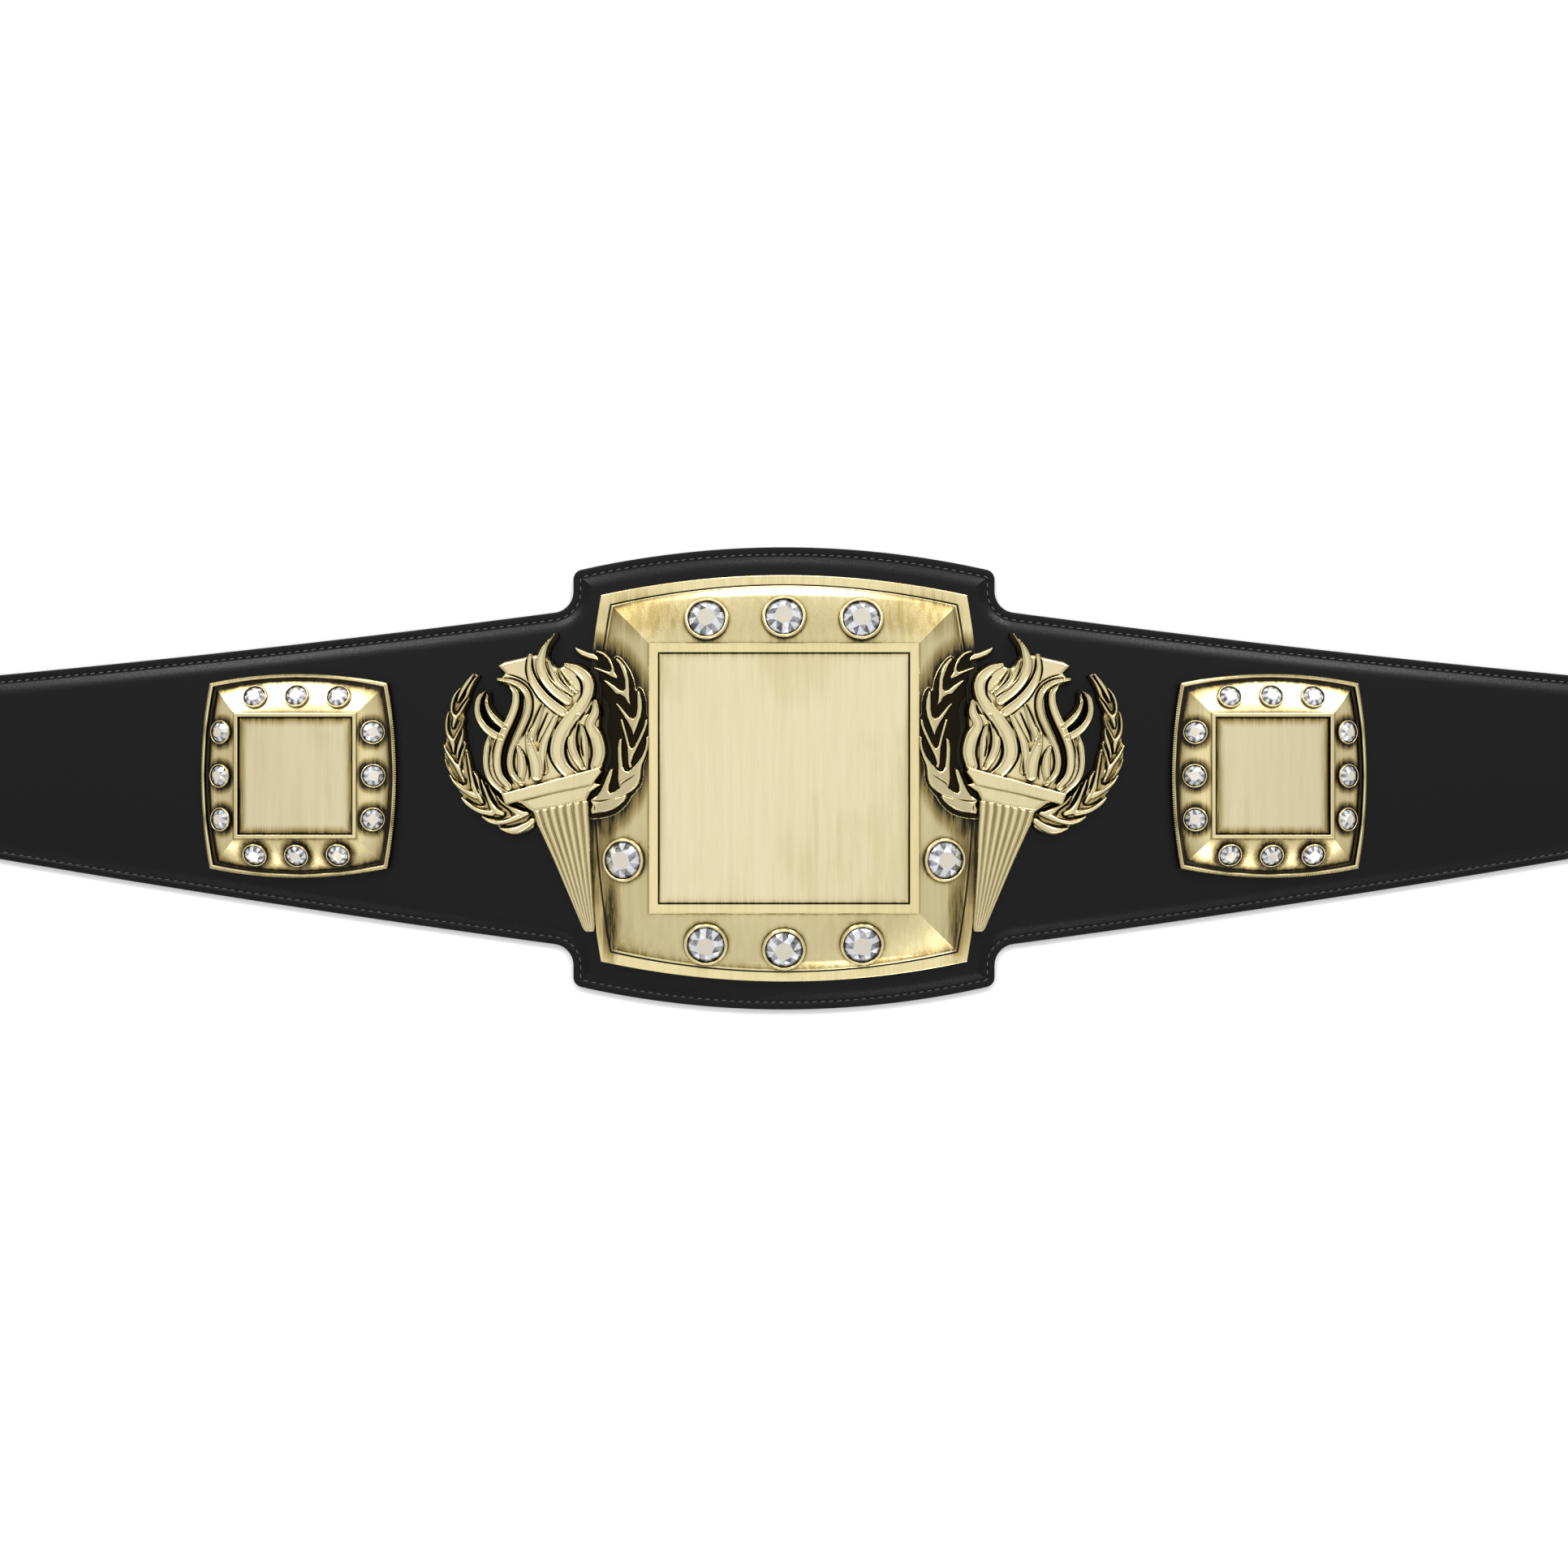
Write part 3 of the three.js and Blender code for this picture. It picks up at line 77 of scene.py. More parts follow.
# Bands of flame along their middle lines: distance out, height and width.
FLAME_BANDS: tuple[Stroke, ...] = (
    ((179.2, 52, 0.5), (182.6, 48.1, 2.9), (183.8, 41.8, 3.4), (182.6, 35.9, 3.9),
     (179.2, 30.6, 4.4), (174.4, 26.7, 5.3), (169.5, 24.3, 4.9)),
    ((177.8, 51, 0.5), (178.3, 45.2, 1.7), (176.3, 39.8, 2.9), (172.4, 35, 3.9),
     (167.1, 30.6, 4.4)),
    ((176.3, 24.8, 2.4), (177.8, 18.9, 3.9), (178.5, 10.2, 3.9), (177.3, 2.9, 3.9),
     (173.9, -2.9, 3.9), (168.1, -8.3, 3.4)),
    ((172.4, 23.3, 2.4), (174.9, 14.1, 2.4), (174.9, 5.3, 2.4), (171.9, -1.5, 2.4),
     (166.1, -7.3, 2.4)),
    ((163.7, 54.9, 1.9), (160.8, 51, 4.4), (160.8, 44.2, 5.3), (163.7, 35.9, 5.8),
     (168.1, 26.7, 5.8), (171, 18, 5.8), (171.9, 9.2, 5.8), (170.5, 1.5, 5.8), (165.1, -5.3, 5.3)),
    ((171.5, 59.3, 1.5), (163.2, 57.8, 2.9), (156.9, 54.4, 3.9), (153.5, 49.1, 4.4),
     (153, 42.3, 4.4), (155.4, 34.5, 4.4), (159.3, 25.7, 3.9), (162.7, 18, 3.9),
     (164.2, 10.2, 3.9), (162.7, 2.9, 3.9), (156.9, -3.4, 3.4)),
    ((152, 73.3, 2.9), (152.5, 65.6, 3.9), (150.1, 57.8, 5.8), (145.2, 50.5, 6.8),
     (138.9, 44.2, 7.3), (132.6, 39.8, 6.8)),
    ((137.5, 86.5, 0.7), (141.8, 81.1, 1.9), (144.7, 74.8, 4.9), (145.7, 67.5, 6.8),
     (142.8, 59.7, 7.3), (137, 52.5, 7.3), (129.7, 46.6, 6.8)),
    ((140.9, 69.9, 1.5), (138.4, 63.1, 3.4), (134.1, 56.3, 3.9), (126.8, 50.5, 2.9)),
    ((135, 65.6, 1.5), (132.1, 60.7, 3.4), (128.2, 55.9, 3.9), (124.3, 52, 2.9)),
    ((130.7, 68, 2.4), (123.9, 65.1, 5.8), (118.5, 59.7, 7.8), (117.5, 52.9, 8.3),
     (120.9, 44.7, 8.7), (127.3, 36.4, 9.2), (132.6, 28.7, 9.7), (135.5, 20.4, 10.2),
     (135.5, 13.1, 9.7), (132.1, 6.3, 8.7), (126.3, 1.5, 7.8)),
    ((113.2, 46.1, 2.4), (113.2, 39.3, 5.8), (116.1, 32.1, 6.8), (112.2, 23.8, 8.7),
     (110.7, 15.1, 8.7), (112.7, 7.3, 7.8)),
    ((123.4, 37.4, 2.9), (126.3, 29.6, 5.3), (127.3, 21.4, 5.8), (125.3, 14.1, 5.8),
     (120.5, 6.8, 5.3)),
    ((144.7, 44.2, 2.4), (147.7, 35.9, 4.9), (150.6, 27.2, 4.9), (152.5, 21.4, 3.9)),
    ((136.5, 37.4, 3.4), (139.9, 29.6, 5.3), (143.3, 21.9, 5.8), (144.7, 13.1, 5.3),
     (143.3, 4.4, 4.9)),
    ((153.5, 25.7, 2.9), (151.5, 18, 6.8), (148.6, 9.2, 8.7), (148.1, 1.5, 7.8)),
    ((159.8, 19.9, 1.5), (157.4, 13.1, 4.9), (156.9, 5.3, 5.8), (157.9, -1.5, 3.9)),
    ((121.4, 32.5, 1.5), (120, 23.8, 5.3), (119.5, 15.1, 5.8), (119, 6.3, 3.9)),
)

# Grooves between and on the bands.
FLAME_GROOVES: tuple[Stroke, ...] = (
    ((176.3, 25.3, 0.3), (176.3, 16.5, 0.7), (176.8, 9.2, 0.7), (175.3, 1.9, 0.7), (171, -3.9, 0.7),
     (166.1, -7.3, 0.3)),
    ((158.3, 53.4, 1), (157.4, 48.1, 2.9), (158.3, 40.3, 3.9), (161.7, 31.6, 4.4),
     (165.1, 23.8, 4.4), (167.6, 16.5, 4.4), (168.1, 8.7, 3.9), (166.6, 1.9, 3.4),
     (161.7, -4.4, 1.7)),
    ((171, 26.2, 0.3), (173.9, 16.5, 1), (173.9, 6.8, 1), (171.5, -0.5, 1), (165.6, -6.8, 0.7)),
    ((168.1, 62.7, 0.3), (161.3, 61.2, 1), (155.4, 58.3, 1), (151.1, 53.9, 1),
     (147.2, 48.1, 1), (141.8, 42.7, 0.7), (134.1, 36.4, 0.7)),
    ((170, 59.7, 0.3), (162.2, 59.7, 0.7), (155.9, 56.8, 0.7), (152.5, 52.9, 0.7), (150.6, 47.1, 1),
     (151.1, 38.4, 1), (154.5, 29.6, 1), (157.9, 22.8, 0.3)),
    ((151.1, 73.3, 1), (150.6, 65.6, 1.3), (147.7, 58.8, 1.3), (142.3, 52, 1.7),
     (136.5, 47.1, 1.7), (130.7, 43.7, 0.7)),
    ((154, 72.4, 0.7), (154.5, 64.6, 1.3), (153, 57.8, 0.7)),
    ((142.8, 63.6, 0.3), (138.9, 57.3, 0.7), (134.1, 52.9, 0.7), (128.2, 50, 0.3)),
    ((134.1, 64.6, 0.3), (131.1, 59.7, 0.7), (127.7, 54.9, 0.3)),
    ((124.8, 61.7, 0.7), (121.4, 56.8, 1.7), (121.4, 50.5, 1.7), (124.8, 44.2, 0.7)),
    ((118.5, 40.3, 1), (123.9, 33.5, 1), (128.2, 26.7, 1), (130.7, 19.9, 1.3),
     (130.2, 13.1, 1.3), (127.3, 7.3, 1.3), (123.4, 3.4, 1)),
    ((134.5, 34.5, 0.7), (138.9, 27.7, 1), (140.9, 19.9, 1.3), (140.4, 13.1, 1.3),
     (137.5, 7.3, 1.3), (133.1, 1.9, 1)),
    ((141.3, 40.3, 0.7), (144.3, 33.5, 1.2), (147.2, 26.7, 1.2), (148.6, 20.9, 0.7)),
    ((137.5, 37.9, 0.3), (140.9, 32.1, 0.8), (144.3, 25.7, 0.8), (147.2, 20.4, 0.3)),
    ((144.7, 45.2, 0.3), (148.1, 38.4, 1.3), (151.5, 30.6, 1.3), (153.5, 27.2, 0.3)),
    ((143.3, 14.1, 0.3), (143.3, 7.8, 0.7), (143.8, 1, 0.7)),
    ((159.8, 20.4, 0.3), (161.3, 15.1, 0.8), (161.7, 8.3, 0.8), (160.3, 2.9, 0.8),
     (155.9, -2.9, 0.3)),
    ((159.8, 20.4, 0.3), (155.9, 15.1, 0.8), (153.5, 9.2, 0.8), (152.5, 2.9, 0.8),
     (153, -1.9, 0.3)),
    ((121.9, 33, 0.3), (123.9, 26.7, 1), (123.4, 18.9, 1), (121.4, 12.1, 1),
     (118.5, 5.8, 0.3)),
    ((121.9, 33, 0.3), (118, 27.7, 0.8), (116.1, 20.9, 0.8), (115.6, 14.1, 0.8), (116.6, 6.3, 0.3)),
    ((121.4, 26.2, 0.3), (121.4, 18.9, 1.3), (120, 12.1, 0.3)),
    ((115.1, 44.2, 0.7), (116.6, 40.3, 1.3), (119.5, 37.4, 0.3)),
)

# Outline of the branch away from the plate.
OUTER_BRANCH: Outline = (
    (183.6, 61.7), (186, 63.1), (188.5, 61.7), (192.3, 57.8), (194.8, 54.4), (197.2, 52.5), (199.1, 49.1),
    (200.4, 45.2), (201.1, 40.8), (202.1, 39.8), (202.5, 36.4), (203.5, 33.5), (203.8, 28.7),
    (203.5, 24.8), (203.3, 21.9), (204.7, 20.2), (205, 18.5), (204.5, 15.1), (204, 10.2), (203, 6.8),
    (201.6, 4.4), (200.8, 2.2), (201.1, 1), (199.6, -1.9), (197.7, -5.3), (195.3, -8.3), (193.3, -10.2),
    (194, -11.7), (193.3, -13.6), (190.9, -16), (188, -18.9), (185.1, -20.4), (182.4, -21.6),
    (181.7, -23.6), (179.7, -25.7), (176.3, -27.4), (172.4, -28.7), (171, -30.1), (168.1, -32.1),
    (164.7, -33.8), (161.3, -34.2), (157.9, -33.5), (154, -31.6), (150.6, -29.4), (149.1, -26.7),
    (148.6, -21.4), (150.6, -19.4), (153.5, -18), (158.3, -16), (164.7, -14.1), (168.1, -12.6),
    (171.9, -9.7), (174.9, -6.6), (177.8, -2.7), (179.7, -1.9), (181.7, -1), (183.6, 1.2), (186, 3.9),
    (187.5, 5.3), (188.2, 7.8), (188.9, 11.7), (189.9, 15.1), (190.6, 17), (191.1, 18), (190.9, 20.9),
    (191.9, 21.9), (192.3, 24.3), (192.8, 27.7), (193.1, 29.6), (192.6, 33.5), (192.1, 35.9),
    (192.6, 37.9), (192.8, 38.9), (191.9, 41.8), (190.4, 45.2), (189.2, 47.1), (189.4, 48.1),
    (188.9, 50.5), (188.2, 53.9), (187, 56.8), (185.1, 59.3),
)

# Ridges of its leaves.
OUTER_RIDGES: tuple[Stroke, ...] = (
    ((186.5, 62.7, 0.7), (188.9, 59.3, 2.4), (191.9, 54.9, 2.9), (194.3, 50.5, 2.4), (196.2, 46.1, 1)),
    (
        (184.1, 61.7, 0.7), (187, 57.8, 1.7), (189.4, 53.4, 2.4), (190.9, 49.1, 1.9), (194.3, 44.2, 1.2),
        (196.7, 40.3, 0.7),
    ),
    (
        (194.8, 53.9, 0.7), (197.7, 50, 1.7), (199.4, 45.2, 1.9), (199.6, 40.3, 1.9), (197.9, 36.4, 2.7),
        (198.4, 33, 2.2), (198.7, 30.1, 0.7),
    ),
    ((189.7, 47.6, 0.7), (191.9, 44.2, 1.7), (194.3, 40.3, 2.2), (197.2, 36.4, 2.4)),
    (
        (201.6, 39.8, 0.5), (202.6, 35.5, 1.5), (202.8, 30.1, 1.7), (201.8, 25.7, 2.2), (199.4, 21.9, 2.9),
        (198.7, 18.5, 2.2), (198.6, 15.5, 0.7),
    ),
    ((192.3, 36.4, 0.5), (193.8, 32.5, 1.5), (195.7, 28.2, 1.7), (197.7, 24.3, 1.9), (199.1, 21.4, 2.4)),
    ((192.9, 29.1, 0.7), (193.3, 25.7, 1.9), (194.5, 21.4, 2.7), (196, 16, 1.9), (196.2, 12.1, 1)),
    (
        (204.4, 19.9, 0.7), (202.5, 16, 2.4), (200.1, 12.1, 2.7), (197.7, 8.7, 2.7), (195.5, 5.3, 3.4),
        (193.6, 1.5, 3.2), (192.3, -1.9, 1.5),
    ),
    ((191.4, 20.9, 0.5), (192.8, 17, 1.7), (193.8, 12.6, 2.2), (195, 8.3, 2.4)),
    ((203.5, 11.2, 1), (201.6, 6.3, 1.7), (198.7, 1.9, 1.5), (195.7, -1.5, 1)),
    (
        (190.4, 16, 0.5), (189.7, 11.7, 1.7), (188.7, 6.3, 1.7), (187.7, 0.5, 2.4), (186.3, -5.3, 3.4),
        (183.6, -10.2, 4.1), (181.4, -14.1, 2.4),
    ),
    ((200.7, 1.9, 1), (198.2, -1.9, 2.4), (194.3, -5.6, 3.2), (189.9, -8.3, 3.2), (185.5, -10.7, 3.6)),
    ((186, 3.4, 0.7), (184.3, -0, 2.2), (183.1, -4.4, 1.7), (181.7, -8.7, 1.2)),
    (
        (181.7, -1, 0.7), (180.2, -5.3, 2.2), (178.3, -10.2, 2.2), (176.3, -15.1, 3.2),
        (173.4, -19.4, 4.1), (169, -21.4, 2.9),
    ),
    (
        (193.6, -11.7, 1.2), (190.9, -14.6, 2.7), (186.5, -17.7, 3.2), (181.7, -19.9, 3.4),
        (175.8, -20.9, 4.1),
    ),
    ((177.8, -3.2, 0.7), (175.6, -7.3, 2.2), (173.4, -11.7, 1.9), (171.5, -15.1, 1.2)),
    ((172.2, -10.7, 1), (169.5, -14.1, 2.2), (165.6, -16.8, 2.4), (160.8, -19.9, 4.1), (155.4, -21.4, 2.9)),
    (
        (181.2, -23.1, 1.2), (177.3, -25.3, 2.9), (171.9, -26.5, 3.4), (166.1, -25.5, 3.4),
        (160.3, -23.3, 3.9), (154.5, -20.9, 3.4),
    ),
    (
        (170.5, -30.1, 1.2), (166.1, -31.3, 3.4), (160.8, -31.1, 4.9), (155.4, -28.4, 4.9),
        (151.1, -25.5, 3.9),
    ),
)

# Dark lines between them.
OUTER_GROOVES: tuple[Stroke, ...] = (
    ((185.5, 61.7, 0.5), (188.9, 56.8, 0.7), (191.9, 52, 0.8), (193.8, 48.1, 0.8), (195.7, 45.2, 0.4)),
    ((195.3, 52, 0.4), (196.7, 49.1, 0.8), (198.4, 45.2, 1), (198.6, 41.3, 1), (198.2, 37.9, 0.5)),
    ((189.9, 48.1, 0.5), (192.6, 45.2, 0.9), (195, 41.3, 0.9), (196.7, 38.4, 0.5)),
    ((196.7, 51, 0.3), (196.2, 48.1, 0.6), (196.5, 44.7, 0.4)),
    ((201.3, 37.9, 0.4), (201.6, 33.5, 0.7), (201.3, 29.1, 0.7), (199.6, 24.3, 0.5)),
    ((200.6, 36.4, 0.4), (199.9, 32.5, 0.8), (198.7, 29.6, 1), (197, 32.5, 0.8), (194.8, 35.9, 0.4)),
    ((192.6, 35, 0.4), (194.5, 31.6, 0.9), (197, 27.2, 0.9), (198.4, 23.8, 0.5)),
    ((193.2, 28.2, 0.4), (195.5, 23.3, 0.9), (197, 18.9, 1), (197.4, 14.6, 1)),
    ((202.5, 22.8, 0.4), (201.1, 19.4, 0.7), (199.6, 16, 0.9), (197.7, 14.3, 0.9)),
    ((203, 18.5, 0.4), (201.1, 15.1, 0.5), (198.9, 12.1, 0.5), (196.7, 8.7, 0.4)),
    ((191.6, 19.9, 0.4), (193.8, 16.5, 1), (195.3, 12.1, 1), (196.2, 8.3, 0.5)),
    (
        (203.3, 10.7, 0.4), (201.1, 5.8, 0.7), (197.7, 1, 0.8), (194.3, -2.7, 0.9), (191.6, -3.4, 1),
        (191.6, -0.5, 0.9), (193.6, 1.9, 0.7),
    ),
    ((193.1, 14.1, 0.5), (193.7, 9.2, 1.1), (193.7, 4.4, 1.1), (191.9, -0, 0.8)),
    ((190.9, 15.1, 0.5), (190.7, 10.2, 0.8), (189.9, 4.4, 0.8), (188.7, -1.5, 0.9), (188.2, -6.3, 0.6)),
    ((199.6, 0.5, 0.3), (196.2, -2.9, 0.6), (192.3, -5.8, 0.6), (188.5, -7.8, 0.4)),
    ((187, 3.9, 0.5), (185.8, -1, 1), (184.3, -6.3, 1), (183.1, -9.7, 0.7)),
    (
        (191.9, -11.2, 0.4), (188.9, -13.6, 1), (185.1, -15.5, 1), (181.7, -16.3, 1), (180, -14.6, 1),
        (181.2, -11.7, 0.8), (183.6, -8.7, 0.5),
    ),
    ((182.6, -2.4, 0.5), (181.9, -6.3, 0.9), (179.7, -11.2, 0.9), (177.8, -15.1, 0.9), (177.3, -18, 0.5)),
    ((190.4, -13.1, 0.3), (186.5, -16.3, 0.6), (182.1, -18.2, 0.6), (177.8, -18.5, 0.4)),
    ((179.5, -2.9, 0.5), (177.3, -7.3, 0.9), (174.9, -12.1, 0.9), (172.9, -16.5, 0.8), (169, -19.4, 0.4)),
    ((178.7, -22.8, 0.4), (174.4, -23.8, 0.9), (170, -23.6, 1), (167.6, -21.9, 1), (168.1, -19.7, 0.7)),
    ((178.7, -2.4, 0.4), (175.8, -6.3, 0.8), (172.9, -10.2, 0.9)),
    ((173.2, -11.2, 0.6), (171.9, -14.1, 1), (168.5, -16.8, 1), (165.1, -19.4, 1), (163.7, -22.8, 0.5)),
    ((177.8, -24.5, 0.3), (172.4, -25.3, 0.5), (167.1, -24.5, 0.5), (163.7, -23.3, 0.3)),
    ((165.1, -15.1, 0.7), (161.7, -16.5, 1.2), (157.4, -18.2, 1.5), (152.5, -20.2, 1)),
    ((171, -28.7, 0.4), (165.6, -28.9, 0.9), (159.3, -27.7, 1.1), (154.5, -25.5, 1.1), (151.5, -21.9, 1)),
)

# Outline of the ledge behind the branch that lies over the centre plate, painted near-black as shade.
INNER_BACKING: Outline = (
    (116.1, -24.8), (109.8, -24.3), (104.9, -23.3), (100.1, -21.4), (96.2, -18.5), (92.8, -14.6),
    (90.8, -11.2), (88.4, -8.5), (85.5, -5.3), (84, -1.9), (83.3, 1.9), (83.5, 6.8), (82.1, 10.7),
    (80.4, 14.1), (79.9, 23.8), (79.9, 35.5), (81.6, 38.4), (81.6, 45.2), (82.6, 49.5), (84, 52.9),
    (86, 54.9), (87.4, 54.4), (88.4, 52.5), (88.6, 54.9), (89.4, 58.8), (91.3, 63.6), (94.2, 68.5),
    (97.1, 71.9), (99.6, 73.6), (101.5, 73.1), (102.7, 71.6), (105.9, 74.6), (109.3, 76.7), (112.2, 77.7),
    (114.1, 76.7), (113.2, 71.4), (111.7, 66.5), (110.7, 60.7), (109.3, 54.9), (109.3, 50), (106.4, 46.6),
    (104.9, 41.8), (105.4, 35.9), (105.9, 28.7), (104.4, 22.8), (103.2, 16.5), (103.7, 10.2), (106.9, 5.3),
    (110.7, -1.5), (114.1, -8.3), (117.1, -12.1), (117.5, -19.9),
)

# Outlines of its leaves.
INNER_LEAVES: tuple[Outline, ...] = (
    (
        (125.2, 78.8), (122.8, 77.8), (119.9, 76.6), (117, 75.4), (114.1, 74.9), (112.2, 73.5),
        (111.2, 71.5), (111.7, 70.6), (114.1, 71.3), (118, 72.5), (121.8, 74), (124.3, 75.9),
        (125.5, 77.8),
    ),
    (
        (112.7, 76.6), (110.2, 76.4), (107.3, 74.9), (104.4, 72), (102.5, 68.6), (101.5, 65.7),
        (101.1, 63.3), (99.4, 60.9), (99.8, 59.5), (102, 60.2), (105.4, 61.9), (109.3, 63.8),
        (112.7, 65.3), (114.3, 66.2), (113.9, 66.9), (110.2, 65.7), (106.9, 64.5), (104.4, 64),
        (103.3, 65.3), (104, 68.2), (105.9, 71.5), (108.8, 74.2), (111.7, 75.4), (113.1, 75.9),
    ),
    (
        (100.8, 71.5), (99.6, 71.8), (97.7, 70.1), (95.2, 67.2), (93.6, 63.3), (92.6, 59), (92.3, 54.6),
        (92.2, 49.8), (91.6, 44), (93.3, 45.4), (95.2, 48.3), (97.7, 50), (100.6, 50.5), (103.5, 53.7),
        (106.4, 56.6), (108.1, 58.5), (107.6, 59.2), (104.9, 58), (101.5, 55.6), (98.6, 53.2),
        (96.2, 52.4), (94.9, 53.7), (95, 58.5), (96.5, 63.8), (98.6, 68.2),
    ),
    (
        (87.5, 51.7), (86.5, 52.2), (85.6, 50.3), (84.6, 46.4), (84.4, 41.6), (85.1, 37.2), (86.8, 32.4),
        (88.5, 28), (89.7, 25.4), (91.4, 30), (93.8, 34.3), (96.7, 38.7), (99.1, 42.5), (100.8, 44.7),
        (99.8, 45), (97.7, 43), (94.8, 39.6), (92.3, 36.7), (89.9, 35.8), (88.2, 37.2), (87.5, 41.6),
        (87.5, 46.9),
    ),
    (
        (97.9, 35.3), (96.5, 35.5), (95.2, 31.9), (93.8, 27.1), (92.6, 22.2), (91.9, 19.1), (90.7, 18.1),
        (89.4, 18.8), (87.5, 22.2), (85.6, 26.6), (83.6, 30.9), (82.7, 34.8), (81.5, 35.3), (81.2, 32.9),
        (82.7, 28), (85.1, 22.7), (87.5, 17.9), (89.9, 13), (91.1, 9.2), (90.4, 6.8), (92.1, 5.8),
        (93.1, 8.7), (93.3, 13.5), (93.6, 18.4), (95, 24.6), (96.7, 30.4),
    ),
    (
        (98.6, 23.2), (96.7, 23.9), (96.9, 18.8), (96.7, 12.6), (96, 6.8), (94.8, 4.6), (92.8, 4.3),
        (90.7, 6), (87.8, 9.2), (84.9, 13), (82.9, 17.4), (82, 21.7), (82.2, 24.6), (80.7, 25.1),
        (80.5, 21.7), (81.2, 16.9), (82.7, 12.1), (84.6, 7.7), (85.1, 4.3), (85.3, 1), (87, -2.9),
        (89.9, -5.6), (93.8, -4.9), (98.6, -5.3), (99.4, -0), (99.1, 5.8), (99.4, 11.6), (99.6, 17.9),
    ),
    (
        (104.4, 5.3), (102.5, 5.5), (102.5, 3.4), (103.5, -0.5), (104.7, -4.4), (104.9, -7.5), (104, -8.7),
        (101.8, -8), (98.6, -5.8), (94.3, -3.2), (89.9, -0), (87, 1.4), (85.3, 0.5), (86.5, -3.4),
        (88.5, -5.8), (90.9, -7.8), (94, -9.7), (94, -11.6), (95.7, -14), (98.6, -16.5), (102.5, -18.9),
        (106.9, -20.3), (111.2, -20.8), (115.6, -21.5), (116.3, -18.9), (115.1, -16), (116.5, -13.1),
        (114.6, -11.6), (112.2, -9.9), (110.2, -7.3), (108.3, -3.4), (106.4, 1),
    ),
)

# Dark lines on its lower leaves.
INNER_GROOVES: tuple[Stroke, ...] = (
    ((99.1, -5.3, 0.5), (95.7, -2.4, 1), (91.9, -0, 1), (88.5, 2.4, 0.5)),
    ((115.6, -13.6, 0.8), (111.7, -13.7, 1.2), (107.3, -13.1, 1.1), (103.5, -11.9, 0.5)),
    ((93.8, -9.7, 0.5), (97.7, -10.9, 0.6), (101.5, -11.9, 0.5)),
    ((114.1, -16, 0.8), (113.6, -17.9, 0.8), (114.1, -19.8, 0.5)),
)

# Upper band of the bowl.
BOWL_BAND: Outline = (
    (169, -9.2), (139.9, -1.5), (110.7, 6.6), (109.3, 3.9), (115.1, -3.9), (140.9, -9.2),
    (166.6, -15.5),
)

# Lower tier of the bowl.
BOWL_TIER: Outline = (
    (164.2, -14.1), (157.9, -15.1), (150.6, -20.4), (134.1, -18), (118.5, -13.6), (116.1, -8.3),
    (109.3, -3.9), (115.1, -1.5), (140.9, -7.3),
)

# The handle's edge away from the plate, from the bowl down.
HANDLE_OUTER_EDGE: Outline = (
    (151.1, -19.9), (148.1, -29.1), (138.9, -49.1), (129.2, -71.9), (121.4, -90.3), (120, -92.3),
)

# The handle's edge towards the plate.
HANDLE_INNER_EDGE: Outline = (
    (117.1, -13.1), (116.1, -29.1), (115.6, -49.1), (114.6, -71.9), (113.7, -88.9), (114.1, -92.3),
)


class Edge(Enum):
    """The four edges of a plate, as the outward direction in X and Y."""

    TOP = (0, 1)
    RIGHT = (1, 0)
    BOTTOM = (0, -1)
    LEFT = (-1, 0)


class Section(Enum):
    """The section across a band of the cast relief."""

    ROUND = "round"
    RIMMED = "rimmed"


Seat = tuple[Edge, float, float]


def around(middle: float, swing: Span) -> Span:
    """The span that swings round a middle value."""
    return (middle + swing[0], middle + swing[1])


